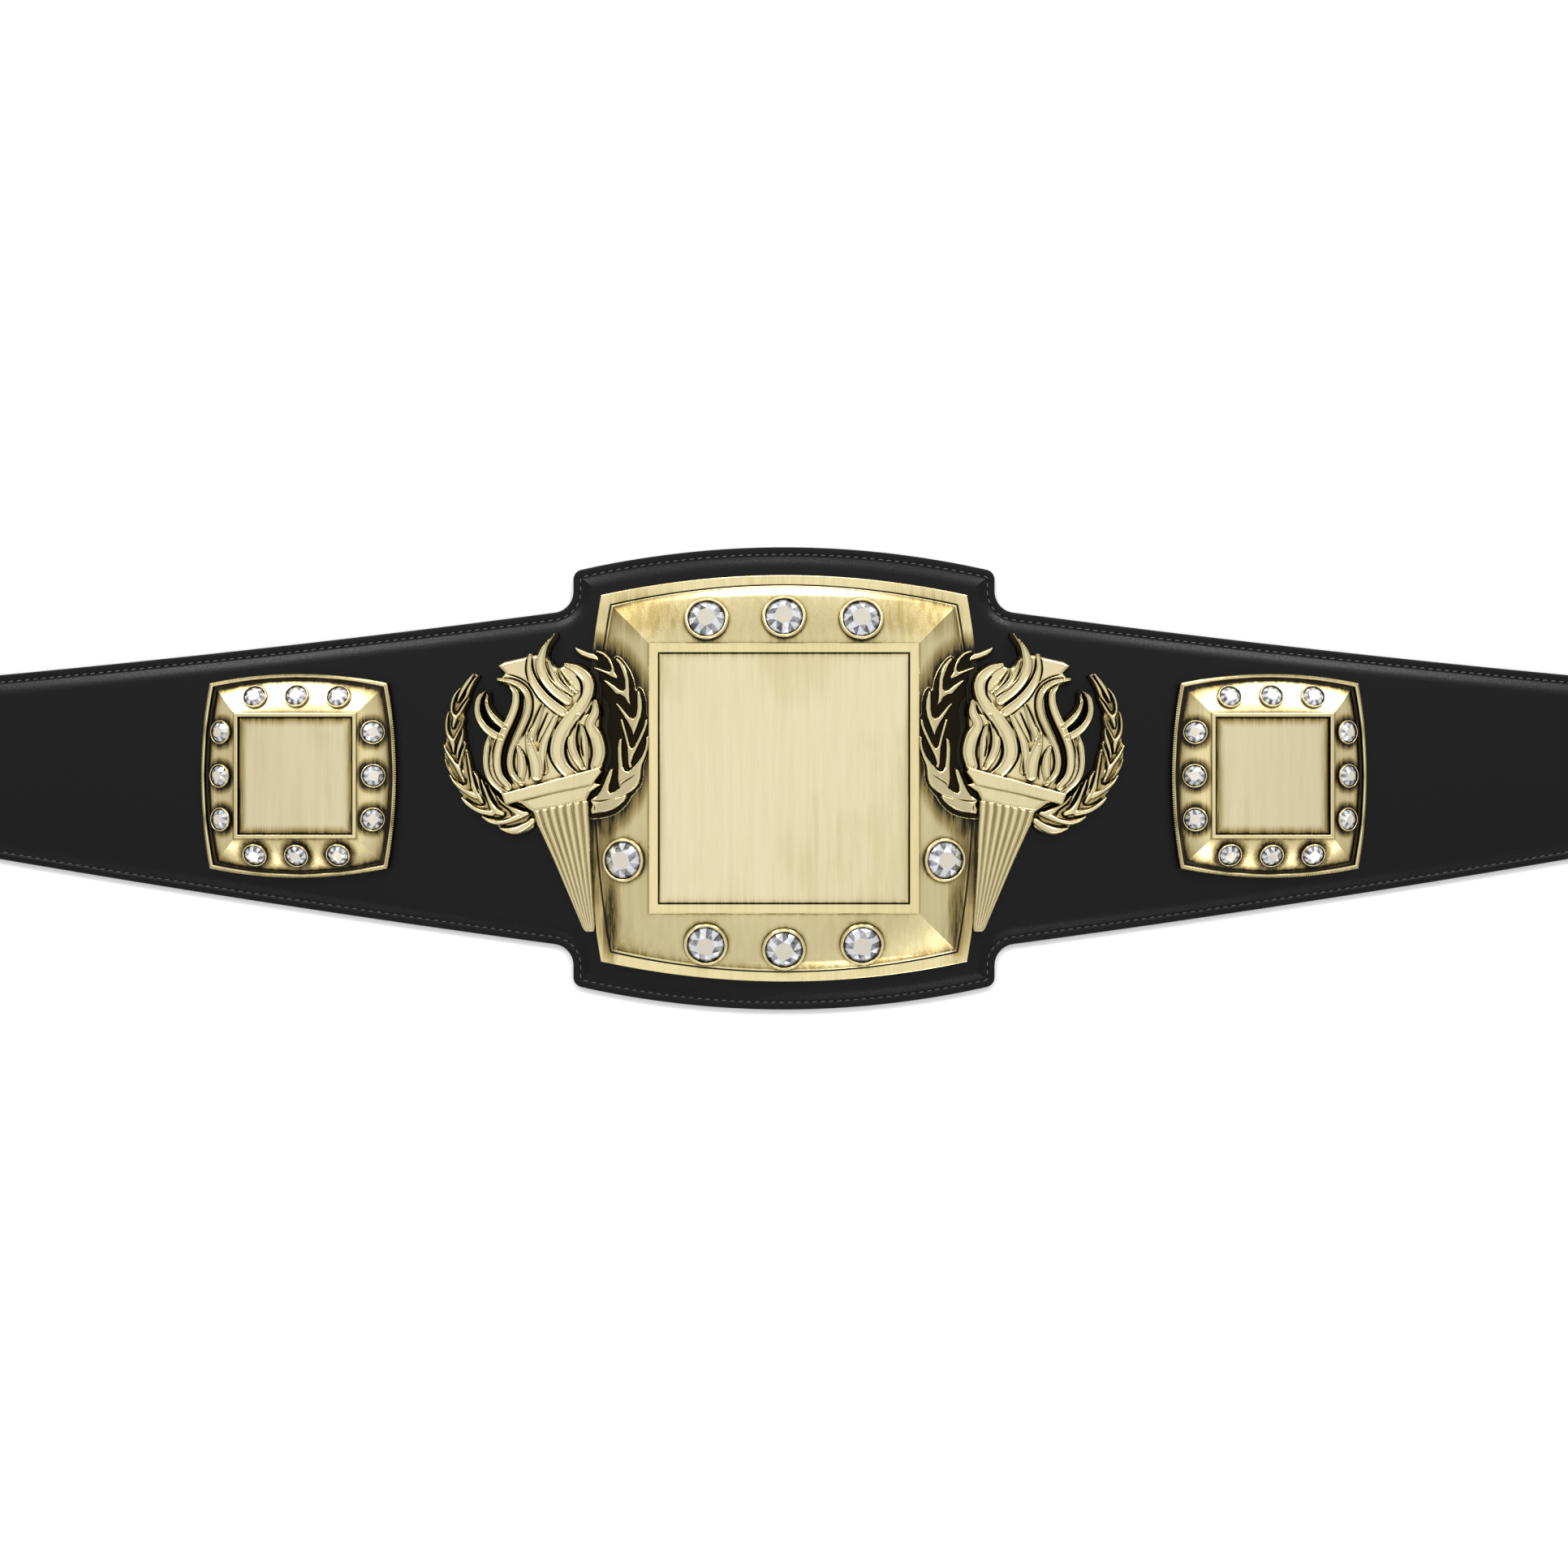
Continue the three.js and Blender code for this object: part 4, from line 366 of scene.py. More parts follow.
class NodeSheet:
    """A material's node tree under way."""

    def __init__(self, name: str) -> None:
        """Starts an empty tree.

        Args:
            name: The material's name.
        """
        self.material = bpy.data.materials.new(name)
        self.material.use_nodes = True
        self.tree = self.material.node_tree
        self.tree.nodes.clear()

    def add(self, kind: str, inputs: dict | None = None, **settings: object) -> bpy.types.Node:
        """Adds a node and fills its sockets.

        Args:
            kind: The node's type without its ShaderNode prefix.
            inputs: Values or sockets for the node's inputs, by name or index.
            **settings: Properties of the node.

        Returns:
            The new node.
        """
        node = self.tree.nodes.new("ShaderNode" + kind)
        for name, value in settings.items():
            setattr(node, name, value)
        for name, value in (inputs or {}).items():
            if isinstance(value, Socket):
                self.tree.links.new(value, node.inputs[name])
            else:
                node.inputs[name].default_value = value
        return node

    def place(self, scale: Scale = (1, 1, 1)) -> Socket:
        """Object coordinates, stretched where the pattern needs it.

        Args:
            scale: The pattern's scale along each axis.

        Returns:
            The socket of the coordinates.
        """
        coordinates = self.add("TexCoord").outputs["Object"]
        return self.add("Mapping", {"Vector": coordinates, "Scale": scale}).outputs["Vector"]

    def painted(self, name: str) -> Socket:
        """The value of a mesh attribute.

        Args:
            name: The attribute's name.

        Returns:
            The socket of the value.
        """
        return self.add("Attribute", attribute_name=name).outputs["Fac"]

    def noise(self, vector: Socket, scale: float, detail: float = 3, rough: float = 0.55) -> Socket:
        """A noise value.

        Args:
            vector: The coordinates.
            scale: The pattern's scale.
            detail: The number of octaves.
            rough: The weight of the finer octaves.

        Returns:
            The socket of the value, from 0 to 1.
        """
        node = self.add("TexNoise", {"Vector": vector, "Scale": scale, "Detail": detail, "Roughness": rough})
        return node.outputs["Fac"]

    def math(self, kind: str, first: object, second: object, clamp: bool = False) -> Socket:
        """One operation on two values.

        Args:
            kind: The operation's name.
            first: The first value or socket.
            second: The second value or socket.
            clamp: Whether the result stays from 0 to 1.

        Returns:
            The socket of the result.
        """
        return self.add("Math", {0: first, 1: second}, operation=kind, use_clamp=clamp).outputs[0]

    def remap(self, value: Socket, source: Span, target: Span = (0.0, 1.0)) -> Socket:
        """A value brought from one span to another, smoothly and within it.

        Args:
            value: The socket to remap.
            source: The two values that become the target's ends.
            target: The ends of the result.

        Returns:
            The socket of the result.
        """
        ends = {"From Min": source[0], "From Max": source[1], "To Min": target[0], "To Max": target[1]}
        node = self.add("MapRange", {"Value": value, **ends}, interpolation_type="SMOOTHSTEP")
        return node.outputs["Result"]

    def mix(self, share: object, first: object, second: object) -> Socket:
        """A blend of two colours.

        Args:
            share: The share of the second colour.
            first: The first colour or socket.
            second: The second colour or socket.

        Returns:
            The socket of the blend.
        """
        pair = [v if isinstance(v, Socket) else (*v, 1.0) for v in (first, second)]
        # Inputs 6 and 7 and output 2 are the Mix node's colour sockets.
        node = self.add("Mix", {0: share, 6: pair[0], 7: pair[1]}, data_type="RGBA")
        return node.outputs[2]

    def bump(self, height: Socket, distance: float, strength: float = 1.0,
             normal: Socket | None = None) -> Socket:
        """A bumped normal.

        Args:
            height: The socket of the height.
            distance: The height that a value of 1 stands for, in metres.
            strength: The weight of the bump.
            normal: The normal that is bumped, or None for the surface's own.

        Returns:
            The socket of the normal.
        """
        node = self.add("Bump", {"Height": height, "Distance": distance, "Strength": strength})
        if normal is not None:
            self.tree.links.new(normal, node.inputs["Normal"])
        return node.outputs["Normal"]

    def shade(self, inputs: dict) -> bpy.types.Material:
        """Ends the tree in the shader.

        Args:
            inputs: Values and sockets of the shader.

        Returns:
            The finished material.
        """
        shader = self.add("BsdfPrincipled", inputs)
        self.add("OutputMaterial", {"Surface": shader.outputs[0]})
        return self.material


@dataclass(frozen=True)
class AntiqueGold:
    """Pale gold with a drawn grain, and near-black patina and painted shade in its recesses."""

    name: str
    bright: Colour = (0.87, 0.75, 0.42)
    deep: Colour = (0.7, 0.58, 0.27)
    # Brown and near-black of the patina and of the painted shade.
    tarnish_and_shade: Colour = (0.4, 0.3, 0.11)
    patina_and_shade: Colour = (0.018, 0.014, 0.008)
    roughness: float = 0.2
    grain: float = 1.0
    recess: float = 0.007
    occlusion_shade: float = 1.0
    blotches: float = 0.25
    lacquer: float = 0.0
    smear: float = 0.2
    fine_scale: Scale = (2600, 60, 2600)
    broad_scale: Scale = (300, 14, 300)
    cloud_scale: Scale = (22, 12, 22)
    broad_share: float = 0.6
    streak_span: Span = (0.38, 0.62)
    streak_depth: float = 0.35
    cloud_streaks: float = 0.25
    cloud_span: Span = (0.6, 0.85)
    open_span: Span = (0.9, 0.35)
    smear_span: Span = (0.2, 0.8)
    tarnish_and_shade_span: Span = (0.0, 0.5)
    patina_and_shade_span: Span = (0.35, 1.0)
    gloss_span: Span = (0.3, 0.7)
    gloss_swing: Span = (-0.03, 0.05)
    patina_dulling: float = 0.16
    scratch_depth: float = 0.000012
    scratch_strength: float = 0.5
    lacquer_roughness: float = 0.05
    lacquer_index: float = 1.5

    def material(self) -> bpy.types.Material:
        """Builds the finish.

        Returns:
            The material.
        """
        sheet = NodeSheet(self.name)
        fine = sheet.noise(sheet.place(self.fine_scale), 1.0, 2)
        broad = sheet.noise(sheet.place(self.broad_scale), 1.0, 4, 0.6)
        cloud = sheet.noise(sheet.place(self.cloud_scale), 1.0)
        drawn = sheet.math("ADD", sheet.math("MULTIPLY", broad, self.broad_share),
                           sheet.math("MULTIPLY", fine, 1 - self.broad_share))
        streaks = sheet.remap(drawn, self.streak_span)
        cast = sheet.math("MULTIPLY", streaks, self.streak_depth * self.grain)
        clouded = sheet.math("ADD", cloud, sheet.math("MULTIPLY", broad, self.cloud_streaks))
        patch = sheet.remap(clouded, self.cloud_span, (0, self.blotches))
        metal = sheet.mix(sheet.math("ADD", cast, patch, clamp=True), self.bright, self.deep)
        # Ambient occlusion paints shade into the recesses, on top of the mesh layer's patina and painted
        # shade.
        open_sky = sheet.add("AmbientOcclusion", {"Distance": self.recess}, samples=8).outputs["AO"]
        painted_occlusion_shade = sheet.remap(open_sky, self.open_span, (0, self.occlusion_shade))
        amount = sheet.math("ADD", painted_occlusion_shade, sheet.painted("patina_and_shade"))
        smeared = sheet.remap(streaks, self.smear_span, around(1, (-self.smear, self.smear)))
        patina_and_shade_mask = sheet.math("MULTIPLY", amount, smeared, clamp=True)
        tarnished_and_shaded = sheet.mix(sheet.remap(patina_and_shade_mask, self.tarnish_and_shade_span), metal, self.tarnish_and_shade)
        colour = sheet.mix(sheet.remap(patina_and_shade_mask, self.patina_and_shade_span), tarnished_and_shaded, self.patina_and_shade)
        brushed = sheet.remap(fine, self.gloss_span, around(self.roughness, self.gloss_swing))
        gloss = sheet.math("ADD", brushed, sheet.math("MULTIPLY", patina_and_shade_mask, self.patina_dulling))
        normal = sheet.bump(fine, self.scratch_depth * self.grain, self.scratch_strength)
        return sheet.shade({"Base Color": colour, "Metallic": 1.0, "Roughness": gloss, "Normal": normal,
                            "Coat Weight": self.lacquer, "Coat Roughness": self.lacquer_roughness,
                            "Coat IOR": self.lacquer_index})


@dataclass(frozen=True)
class Leather:
    """Matt black leather with a fine grain, rubbed smoother where the mesh layer of patina and painted shade,
    which on the strap marks only the polished shoulder, says so.
    """

    name: str = "black_leather"
    face: Colour = (0.002, 0.002, 0.0022)
    high: Colour = (0.005, 0.005, 0.0052)
    roughness: float = 0.38
    specular: float = 0.19
    pore_scale: float = 1400.0
    pore_span: Span = (0.0, 0.25)
    pore_share: float = 0.5
    crease_scale: float = 840.0
    crease_span: Span = (0.35, 0.7)
    crease_rub: float = 0.6
    gloss_span: Span = (0.3, 0.7)
    gloss_swing: Span = (0.06, -0.05)
    polish_share: float = 0.13
    grain_depth: float = 0.00007
    grain_strength: float = 0.45
    swell_scale: float = 22.0
    swell_depth: float = 0.0006
    swell_strength: float = 0.35

    def material(self) -> bpy.types.Material:
        """Builds the finish.

        Returns:
            The material.
        """
        sheet = NodeSheet(self.name)
        place = sheet.place()
        cells = sheet.add("TexVoronoi", {"Vector": place, "Scale": self.pore_scale},
                          feature="DISTANCE_TO_EDGE")
        creases = sheet.noise(place, self.crease_scale, 4, 0.6)
        swell = sheet.noise(place, self.swell_scale, 2)
        pores = sheet.remap(cells.outputs["Distance"], self.pore_span)
        grain = sheet.math("ADD", sheet.math("MULTIPLY", pores, self.pore_share), creases)
        rubbed = sheet.remap(creases, self.crease_span, (0, self.crease_rub))
        colour = sheet.mix(rubbed, self.face, self.high)
        dull = sheet.remap(creases, self.gloss_span, around(self.roughness, self.gloss_swing))
        polish = sheet.math("MULTIPLY", sheet.painted("patina_and_shade"), self.polish_share)
        gloss = sheet.math("SUBTRACT", dull, polish)
        soft = sheet.bump(swell, self.swell_depth, self.swell_strength)
        normal = sheet.bump(grain, self.grain_depth, self.grain_strength, soft)
        return sheet.shade({"Base Color": colour, "Roughness": gloss, "Normal": normal,
                            "Specular IOR Level": self.specular})


@dataclass(frozen=True)
class Thread:
    """Dark twisted thread."""

    name: str = "stitch_thread"
    dark: Colour = (0.035, 0.035, 0.036)
    light: Colour = (0.2, 0.2, 0.203)
    twist_scale: float = 700.0
    twist_distortion: float = 1.5
    twist_depth: float = 0.0001
    roughness: float = 0.6

    def material(self) -> bpy.types.Material:
        """Builds the finish.

        Returns:
            The material.
        """
        sheet = NodeSheet(self.name)
        wave = sheet.add("TexWave", {"Vector": sheet.place(), "Scale": self.twist_scale,
                                     "Distortion": self.twist_distortion}, bands_direction="DIAGONAL")
        twist = wave.outputs["Fac"]
        colour = sheet.mix(twist, self.dark, self.light)
        return sheet.shade({"Base Color": colour, "Roughness": self.roughness,
                            "Normal": sheet.bump(twist, self.twist_depth)})


@dataclass(frozen=True)
class FoiledCrystal:
    """Clear cut stone over a bright foil, whose facets are painted light and dark by turns as painted
    reflections.
    """

    name: str = "foiled_crystal"
    # The crown's facets are painted between these two colours as painted reflections.
    dark: Colour = (0.07, 0.07, 0.08)
    light: Colour = (0.9, 0.91, 0.95)
    table: Colour = (0.8, 0.74, 0.62)
    veil_scale: float = 260.0
    veil_span: Span = (0.35, 0.65)
    veil_swing: Span = (-0.12, 0.12)
    table_span: Span = (1.4, 1.6)
    gloss_span: Span = (0.3, 0.7)
    gloss_range: Span = (0.05, 0.12)
    metallic: float = 0.6
    glass_roughness: float = 0.02
    glass_index: float = 1.6

    def material(self) -> bpy.types.Material:
        """Builds the finish.

        Returns:
            The material.
        """
        sheet = NodeSheet(self.name)
        facet_reflection = sheet.painted("facet_reflection")
        veil = sheet.noise(sheet.place(), self.veil_scale, 1)
        share = sheet.math("ADD", facet_reflection, sheet.remap(veil, self.veil_span, self.veil_swing), clamp=True)
        crown = sheet.mix(share, self.dark, self.light)
        colour = sheet.mix(sheet.remap(facet_reflection, self.table_span), crown, self.table)
        gloss = sheet.remap(veil, self.gloss_span, self.gloss_range)
        return sheet.shade({"Base Color": colour, "Metallic": self.metallic, "Roughness": gloss,
                            "Coat Weight": 1.0, "Coat Roughness": self.glass_roughness,
                            "Coat IOR": self.glass_index})


@dataclass(frozen=True)
class GunMetal:
    """Blackened metal of the press fasteners."""

    name: str = "gun_metal"
    face: Colour = (0.06, 0.06, 0.062)
    rubbed: Colour = (0.24, 0.235, 0.23)
    spot_scale: float = 420.0
    spot_span: Span = (0.45, 0.8)
    spot_depth: float = 0.00003
    gloss_span: Span = (0.3, 0.7)
    gloss_range: Span = (0.28, 0.42)

    def material(self) -> bpy.types.Material:
        """Builds the finish.

        Returns:
            The material.
        """
        sheet = NodeSheet(self.name)
        spots = sheet.noise(sheet.place(), self.spot_scale)
        colour = sheet.mix(sheet.remap(spots, self.spot_span), self.face, self.rubbed)
        gloss = sheet.remap(spots, self.gloss_span, self.gloss_range)
        return sheet.shade({"Base Color": colour, "Metallic": 1.0, "Roughness": gloss,
                            "Normal": sheet.bump(spots, self.spot_depth)})


@dataclass(frozen=True)
class PaleFloor:
    """A plain pale studio floor."""

    name: str = "floor_pale"
    tone: Colour = (0.98, 0.98, 0.98)
    dull_tone: Colour = (0.9653, 0.9653, 0.9653)
    mottle_scale: float = 3.0
    mottle_span: Span = (0.3, 0.7)
    roughness: float = 0.9

    def material(self) -> bpy.types.Material:
        """Builds the finish.

        Returns:
            The material.
        """
        sheet = NodeSheet(self.name)
        mottle = sheet.noise(sheet.place(), self.mottle_scale, 1)
        colour = sheet.mix(sheet.remap(mottle, self.mottle_span), self.tone, self.dull_tone)
        return sheet.shade({"Base Color": colour, "Roughness": self.roughness})


class Workpiece:
    """A mesh under way, in metres, with the steps that the belt's pieces share."""

    def __init__(self) -> None:
        """Starts an empty mesh with a layer for the patina and painted shade."""
        self.bm = bmesh.new()
        self.patina_and_shade = self.bm.verts.layers.float.new("patina_and_shade")
        self.face: bmesh.types.BMFace | None = None

    def open_ring(self, ring: Ring, patina_and_shade: float = 0.0) -> None:
        """Starts a body with a face through the corners of a ring.

        Args:
            ring: The corners, counter-clockwise from above.
            patina_and_shade: The patina and painted shade at each corner.
        """
        made = bmesh.ops.create_circle(self.bm, cap_ends=True, segments=len(ring), radius=1.0)
        self.face = made["verts"][0].link_faces[0]
        for loop, point in zip(self.face.loops, ring):
            loop.vert.co = point
            loop.vert[self.patina_and_shade] = patina_and_shade

    def step(self, ring: Ring, patina_and_shade: float | Sequence[float] = 0.0) -> None:
        """Extrudes the open face and moves its corners to the next ring.

        Args:
            ring: The next ring's corners, as many as the last one's.
            patina_and_shade: The patina and painted shade of the whole ring or of each corner.
        """
        made = bmesh.ops.extrude_discrete_faces(self.bm, faces=[self.face])
        self.face = made["faces"][0]
        values = patina_and_shade if isinstance(patina_and_shade, (list, tuple)) else [patina_and_shade] * len(ring)
        for loop, point, value in zip(self.face.loops, ring, values):
            loop.vert.co = point
            loop.vert[self.patina_and_shade] = value

    def close(self) -> None:
        """Closes what is open and turns every face outwards."""
        open_edges = [edge for edge in self.bm.edges if edge.is_boundary]
        if open_edges:
            bmesh.ops.holes_fill(self.bm, edges=open_edges, sides=0)
        bmesh.ops.recalc_face_normals(self.bm, faces=self.bm.faces)

    def turn(self, profile: Profile, steps: int, place: Matrix) -> list[bmesh.types.BMVert]:
        """Spins a profile round the Z axis and lays the body in its place.

        Args:
            profile: Radius and height of each corner in metres, from the axis to the axis.
            steps: The number of steps of the full turn.
            place: The body's place.

        Returns:
            The body's corners.
        """
        before = set(self.bm.verts)
        corners = [self.bm.verts.new((r, 0, z)) for r, z in profile]
        edges = [self.bm.edges.new(pair) for pair in zip(corners, corners[1:])]
        bmesh.ops.spin(self.bm, geom=corners + edges, cent=(0, 0, 0), axis=(0, 0, 1), angle=math.tau,
                       steps=steps, use_merge=True, use_duplicate=False)
        verts = [v for v in self.bm.verts if v not in before]
        bmesh.ops.remove_doubles(self.bm, verts=verts, dist=TOUCHING)
        verts = [v for v in self.bm.verts if v not in before]
        faces = list({face for v in verts for face in v.link_faces})
        bmesh.ops.recalc_face_normals(self.bm, faces=faces)
        bmesh.ops.transform(self.bm, matrix=place, verts=verts)
        return verts

    def crease(self, angle: float) -> None:
        """Marks every edge sharper than an angle, so that it stays crisp.

        Args:
            angle: The least angle between two faces, in degrees.
        """
        for edge in self.bm.edges:
            if len(edge.link_faces) == 2 and edge.calc_face_angle(0.0) > math.radians(angle):
                edge.smooth = False

    def mesh(self, name: str) -> bpy.types.Mesh:
        """Ends the work in a mesh.

        Args:
            name: The mesh's name.

        Returns:
            The mesh.
        """
        mesh = bpy.data.meshes.new(name)
        self.bm.to_mesh(mesh)
        self.bm.free()
        return mesh

    def piece(self, label: str, name: str, material: bpy.types.Material, slot: str,
              nodes: Sequence[str] = (), smooth: bool = True) -> bpy.types.Object:
        """Ends the work in an object that rides on the belt, and reports it.

        Args:
            label: What the piece is, for the report.
            name: The piece's name.
            material: Its finish.
            slot: The material slot that it would fill; not used.
            nodes: The solids that it stands for.
            smooth: Whether its faces are shaded smoothly.

        Returns:
            The object.
        """
        for face in self.bm.faces:
            face.smooth = smooth
        mesh = self.mesh(name)
        mesh.materials.append(material)
        made = bpy.data.objects.new(name, mesh)
        bpy.context.scene.collection.objects.link(made)
        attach(made, ROOT)
        if nodes:
            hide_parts(*nodes)
        LOG.info("%s: %s, %d faces", label, name, len(mesh.polygons))
        return made


@dataclass
class Strap:
    """The padded leather strap with its stitching. Sizes in millimetres."""

    length: float = 1320.0
    root_height: float = 204.5
    tip_height: float = 63.0
    tip_radius: float = 24.0
    end_rise: float = 16.0
    taper_steps: int = 16
    lobe_half_width: float = 128.0
    lobe_half_height: float = 140.5
    lobe_sagitta: float = 14.7
    lobe_steps: int = 24
    corner_steps: int = 3
    corner_radius: float = 6.0
    fillet_radius: float = 13.0
    widest_fillet: float = 22.5
    sharpest_corner: float = 0.5
    least_sine: float = 0.1
    arc_steps: int = 10
    crease_angle: float = 50.0
    polished_to: float = 10.0
    stitch_inset: float = 4.5
    stitch_level: float = 2.75
    stitch_pitch: float = 5.0
    stitch_length: float = 3.2
    stitch_width: float = 0.75
    stitch_thickness: float = 0.8
    stitch_slant: float = 4.0
    section: Outline = (
        (0.5, 0.0), (0.0, 0.5), (0.0, 2.4), (0.2, 2.8), (0.7, 3.0), (3.4, 3.02), (3.9, 2.8), (4.2, 2.5),
        (4.8, 2.5), (4.95, 3.1), (5.2, 3.6), (6.2, 4.05), (7.4, 4.55), (8.6, 5.0), (9.8, 5.38), (11.0, 5.69),
        (12.2, 5.92), (13.0, 6.0),
    )

    def midline(self, x: float) -> float:
        """Height of the strap's midline at a distance from the middle."""
        beyond = max(abs(x) - self.lobe_half_width, 0.0)
        return self.end_rise * (beyond / (self.length / 2 - self.lobe_half_width)) ** 2

    def corners(self) -> list[tuple[float, float, float]]:
        """Corners of the outline, counter-clockwise.

        Returns:
            X, Y and the rounding radius of each corner.
        """
        reach = self.length / 2 - self.lobe_half_width
        rounding = {0: self.fillet_radius, self.taper_steps: self.tip_radius}

        def quarter(up: int) -> list[tuple[float, float, float]]:
            """Corners of the right half's upper or lower edge, from the tip to the middle.

            Args:
                up: 1 for the upper edge, -1 for the lower one.

            Returns:
                X, Y and the rounding radius of each corner.
            """
            band = []
            for i in range(self.taper_steps, -1, -1):
                x = self.lobe_half_width + reach * i / self.taper_steps
                height = self.root_height + (self.tip_height - self.root_height) * i / self.taper_steps
                band.append((x, self.midline(x) + up * height / 2, rounding.get(i, 0.0)))
            for i in (0, *range(self.corner_steps, self.lobe_steps + 1)):
                share = 1 - i / self.lobe_steps
                y = self.lobe_half_height - self.lobe_sagitta * share ** 2
                band.append((self.lobe_half_width * share, up * y, 0.0 if i else self.corner_radius))
            return band

        upper, lower = quarter(1), quarter(-1)[::-1]
        left_upper = [(-x, y, r) for x, y, r in upper[::-1]][1:]
        left_lower = [(-x, y, r) for x, y, r in lower[::-1]]
        return upper + left_upper + left_lower + lower[1:]

    def ring(self, inset: float, height: float) -> Ring:
        """The outline moved in by a distance, with its round corners drawn as arcs.

        Args:
            inset: The distance, in millimetres.
            height: The ring's height, in millimetres.

        Returns:
            The ring, in metres.
        """
        corners = self.corners()
        count = len(corners)
        moved = []
        for i, (x, y, radius) in enumerate(corners):
            before, after = Vector(corners[i - 1][:2]), Vector(corners[(i + 1) % count][:2])
            here = Vector((x, y))
            into, onward = (here - before).normalized(), (after - here).normalized()
            inward = Vector((-into.y - onward.y, into.x + onward.x)).normalized()
            reach = inset / max(inward.y * onward.x - inward.x * onward.y, self.least_sine)
            convex = into.x * onward.y - into.y * onward.x > 0
            if convex:
                turned = max(radius - inset, self.sharpest_corner)
            else:
                turned = min(radius + inset, self.widest_fillet)
            moved.append((here + inward * reach, turned if radius else 0.0))
        ring = []
        for i, (point, radius) in enumerate(moved):
            if not radius:
                ring.append(point)
                continue
            back = (moved[i - 1][0] - point).normalized()
            ahead = (moved[(i + 1) % count][0] - point).normalized()
            half = math.acos(max(-1.0, min(1.0, back.dot(ahead)))) / 2
            centre = point + (back + ahead).normalized() * (radius / math.sin(half))
            arm = point + back * (radius / math.tan(half)) - centre
            turns_left = back.x * ahead.y - back.y * ahead.x > 0
            sweep = half * 2 - math.pi if turns_left else math.pi - half * 2
            for s in range(self.arc_steps + 1):
                ring.append(centre + Matrix.Rotation(sweep * s / self.arc_steps, 2) @ arm)
        return [Vector((p.x, p.y, height)) * MM for p in ring]

    def build(self, leather: Leather, thread: Thread) -> None:
        """Builds the strap and its stitching.

        Args:
            leather: The strap's finish.
            thread: The stitching's finish.
        """
        work = Workpiece()
        work.open_ring(self.ring(*self.section[0]))
        for inset, height in self.section[1:]:
            work.step(self.ring(inset, height), float(self.stitch_inset < inset < self.polished_to))
        work.close()
        work.crease(self.crease_angle)
        strap = work.piece("Strap", "strap_body", leather.material(), "strap_leather", ["strap"])
        self.stitch(thread)

    def stitch(self, thread: Thread) -> None:
        """Lays one small body for each stitch along the edge.

        Args:
            thread: The stitching's finish.
        """
        path = self.ring(self.stitch_inset, self.stitch_level)
        lengths = [(b - a).length for a, b in zip(path, path[1:] + path[:1])]
        total = sum(lengths)
        count = round(total / (self.stitch_pitch * MM))
        single = Workpiece()
        half_sizes = [v * MM / 2 for v in (self.stitch_length, self.stitch_width, self.stitch_thickness)]
        size = Matrix.Diagonal((*half_sizes, 1))
        bmesh.ops.create_uvsphere(single.bm, u_segments=8, v_segments=5, radius=1.0,
                                  matrix=size @ Matrix.Rotation(math.pi / 2, 4, "Y"))
        shape = single.mesh("one_stitch")
        work = Workpiece()
        along, leg = 0.0, 0
        for i in range(count):
            target = total * i / count
            while along + lengths[leg] < target:
                along += lengths[leg]
                leg += 1
            start, end = path[leg], path[(leg + 1) % len(path)]
            direction = (end - start).normalized()
            slant = math.atan2(direction.y, direction.x) + math.radians(self.stitch_slant)
            turn = Matrix.Rotation(slant, 4, "Z")
            place = Matrix.Translation(start + direction * (target - along)) @ turn
            shape.transform(place)
            work.bm.from_mesh(shape)
            shape.transform(place.inverted())
        bpy.data.meshes.remove(shape)
        work.piece("Stitching", "strap_stitching", thread.material(), "strap_leather")


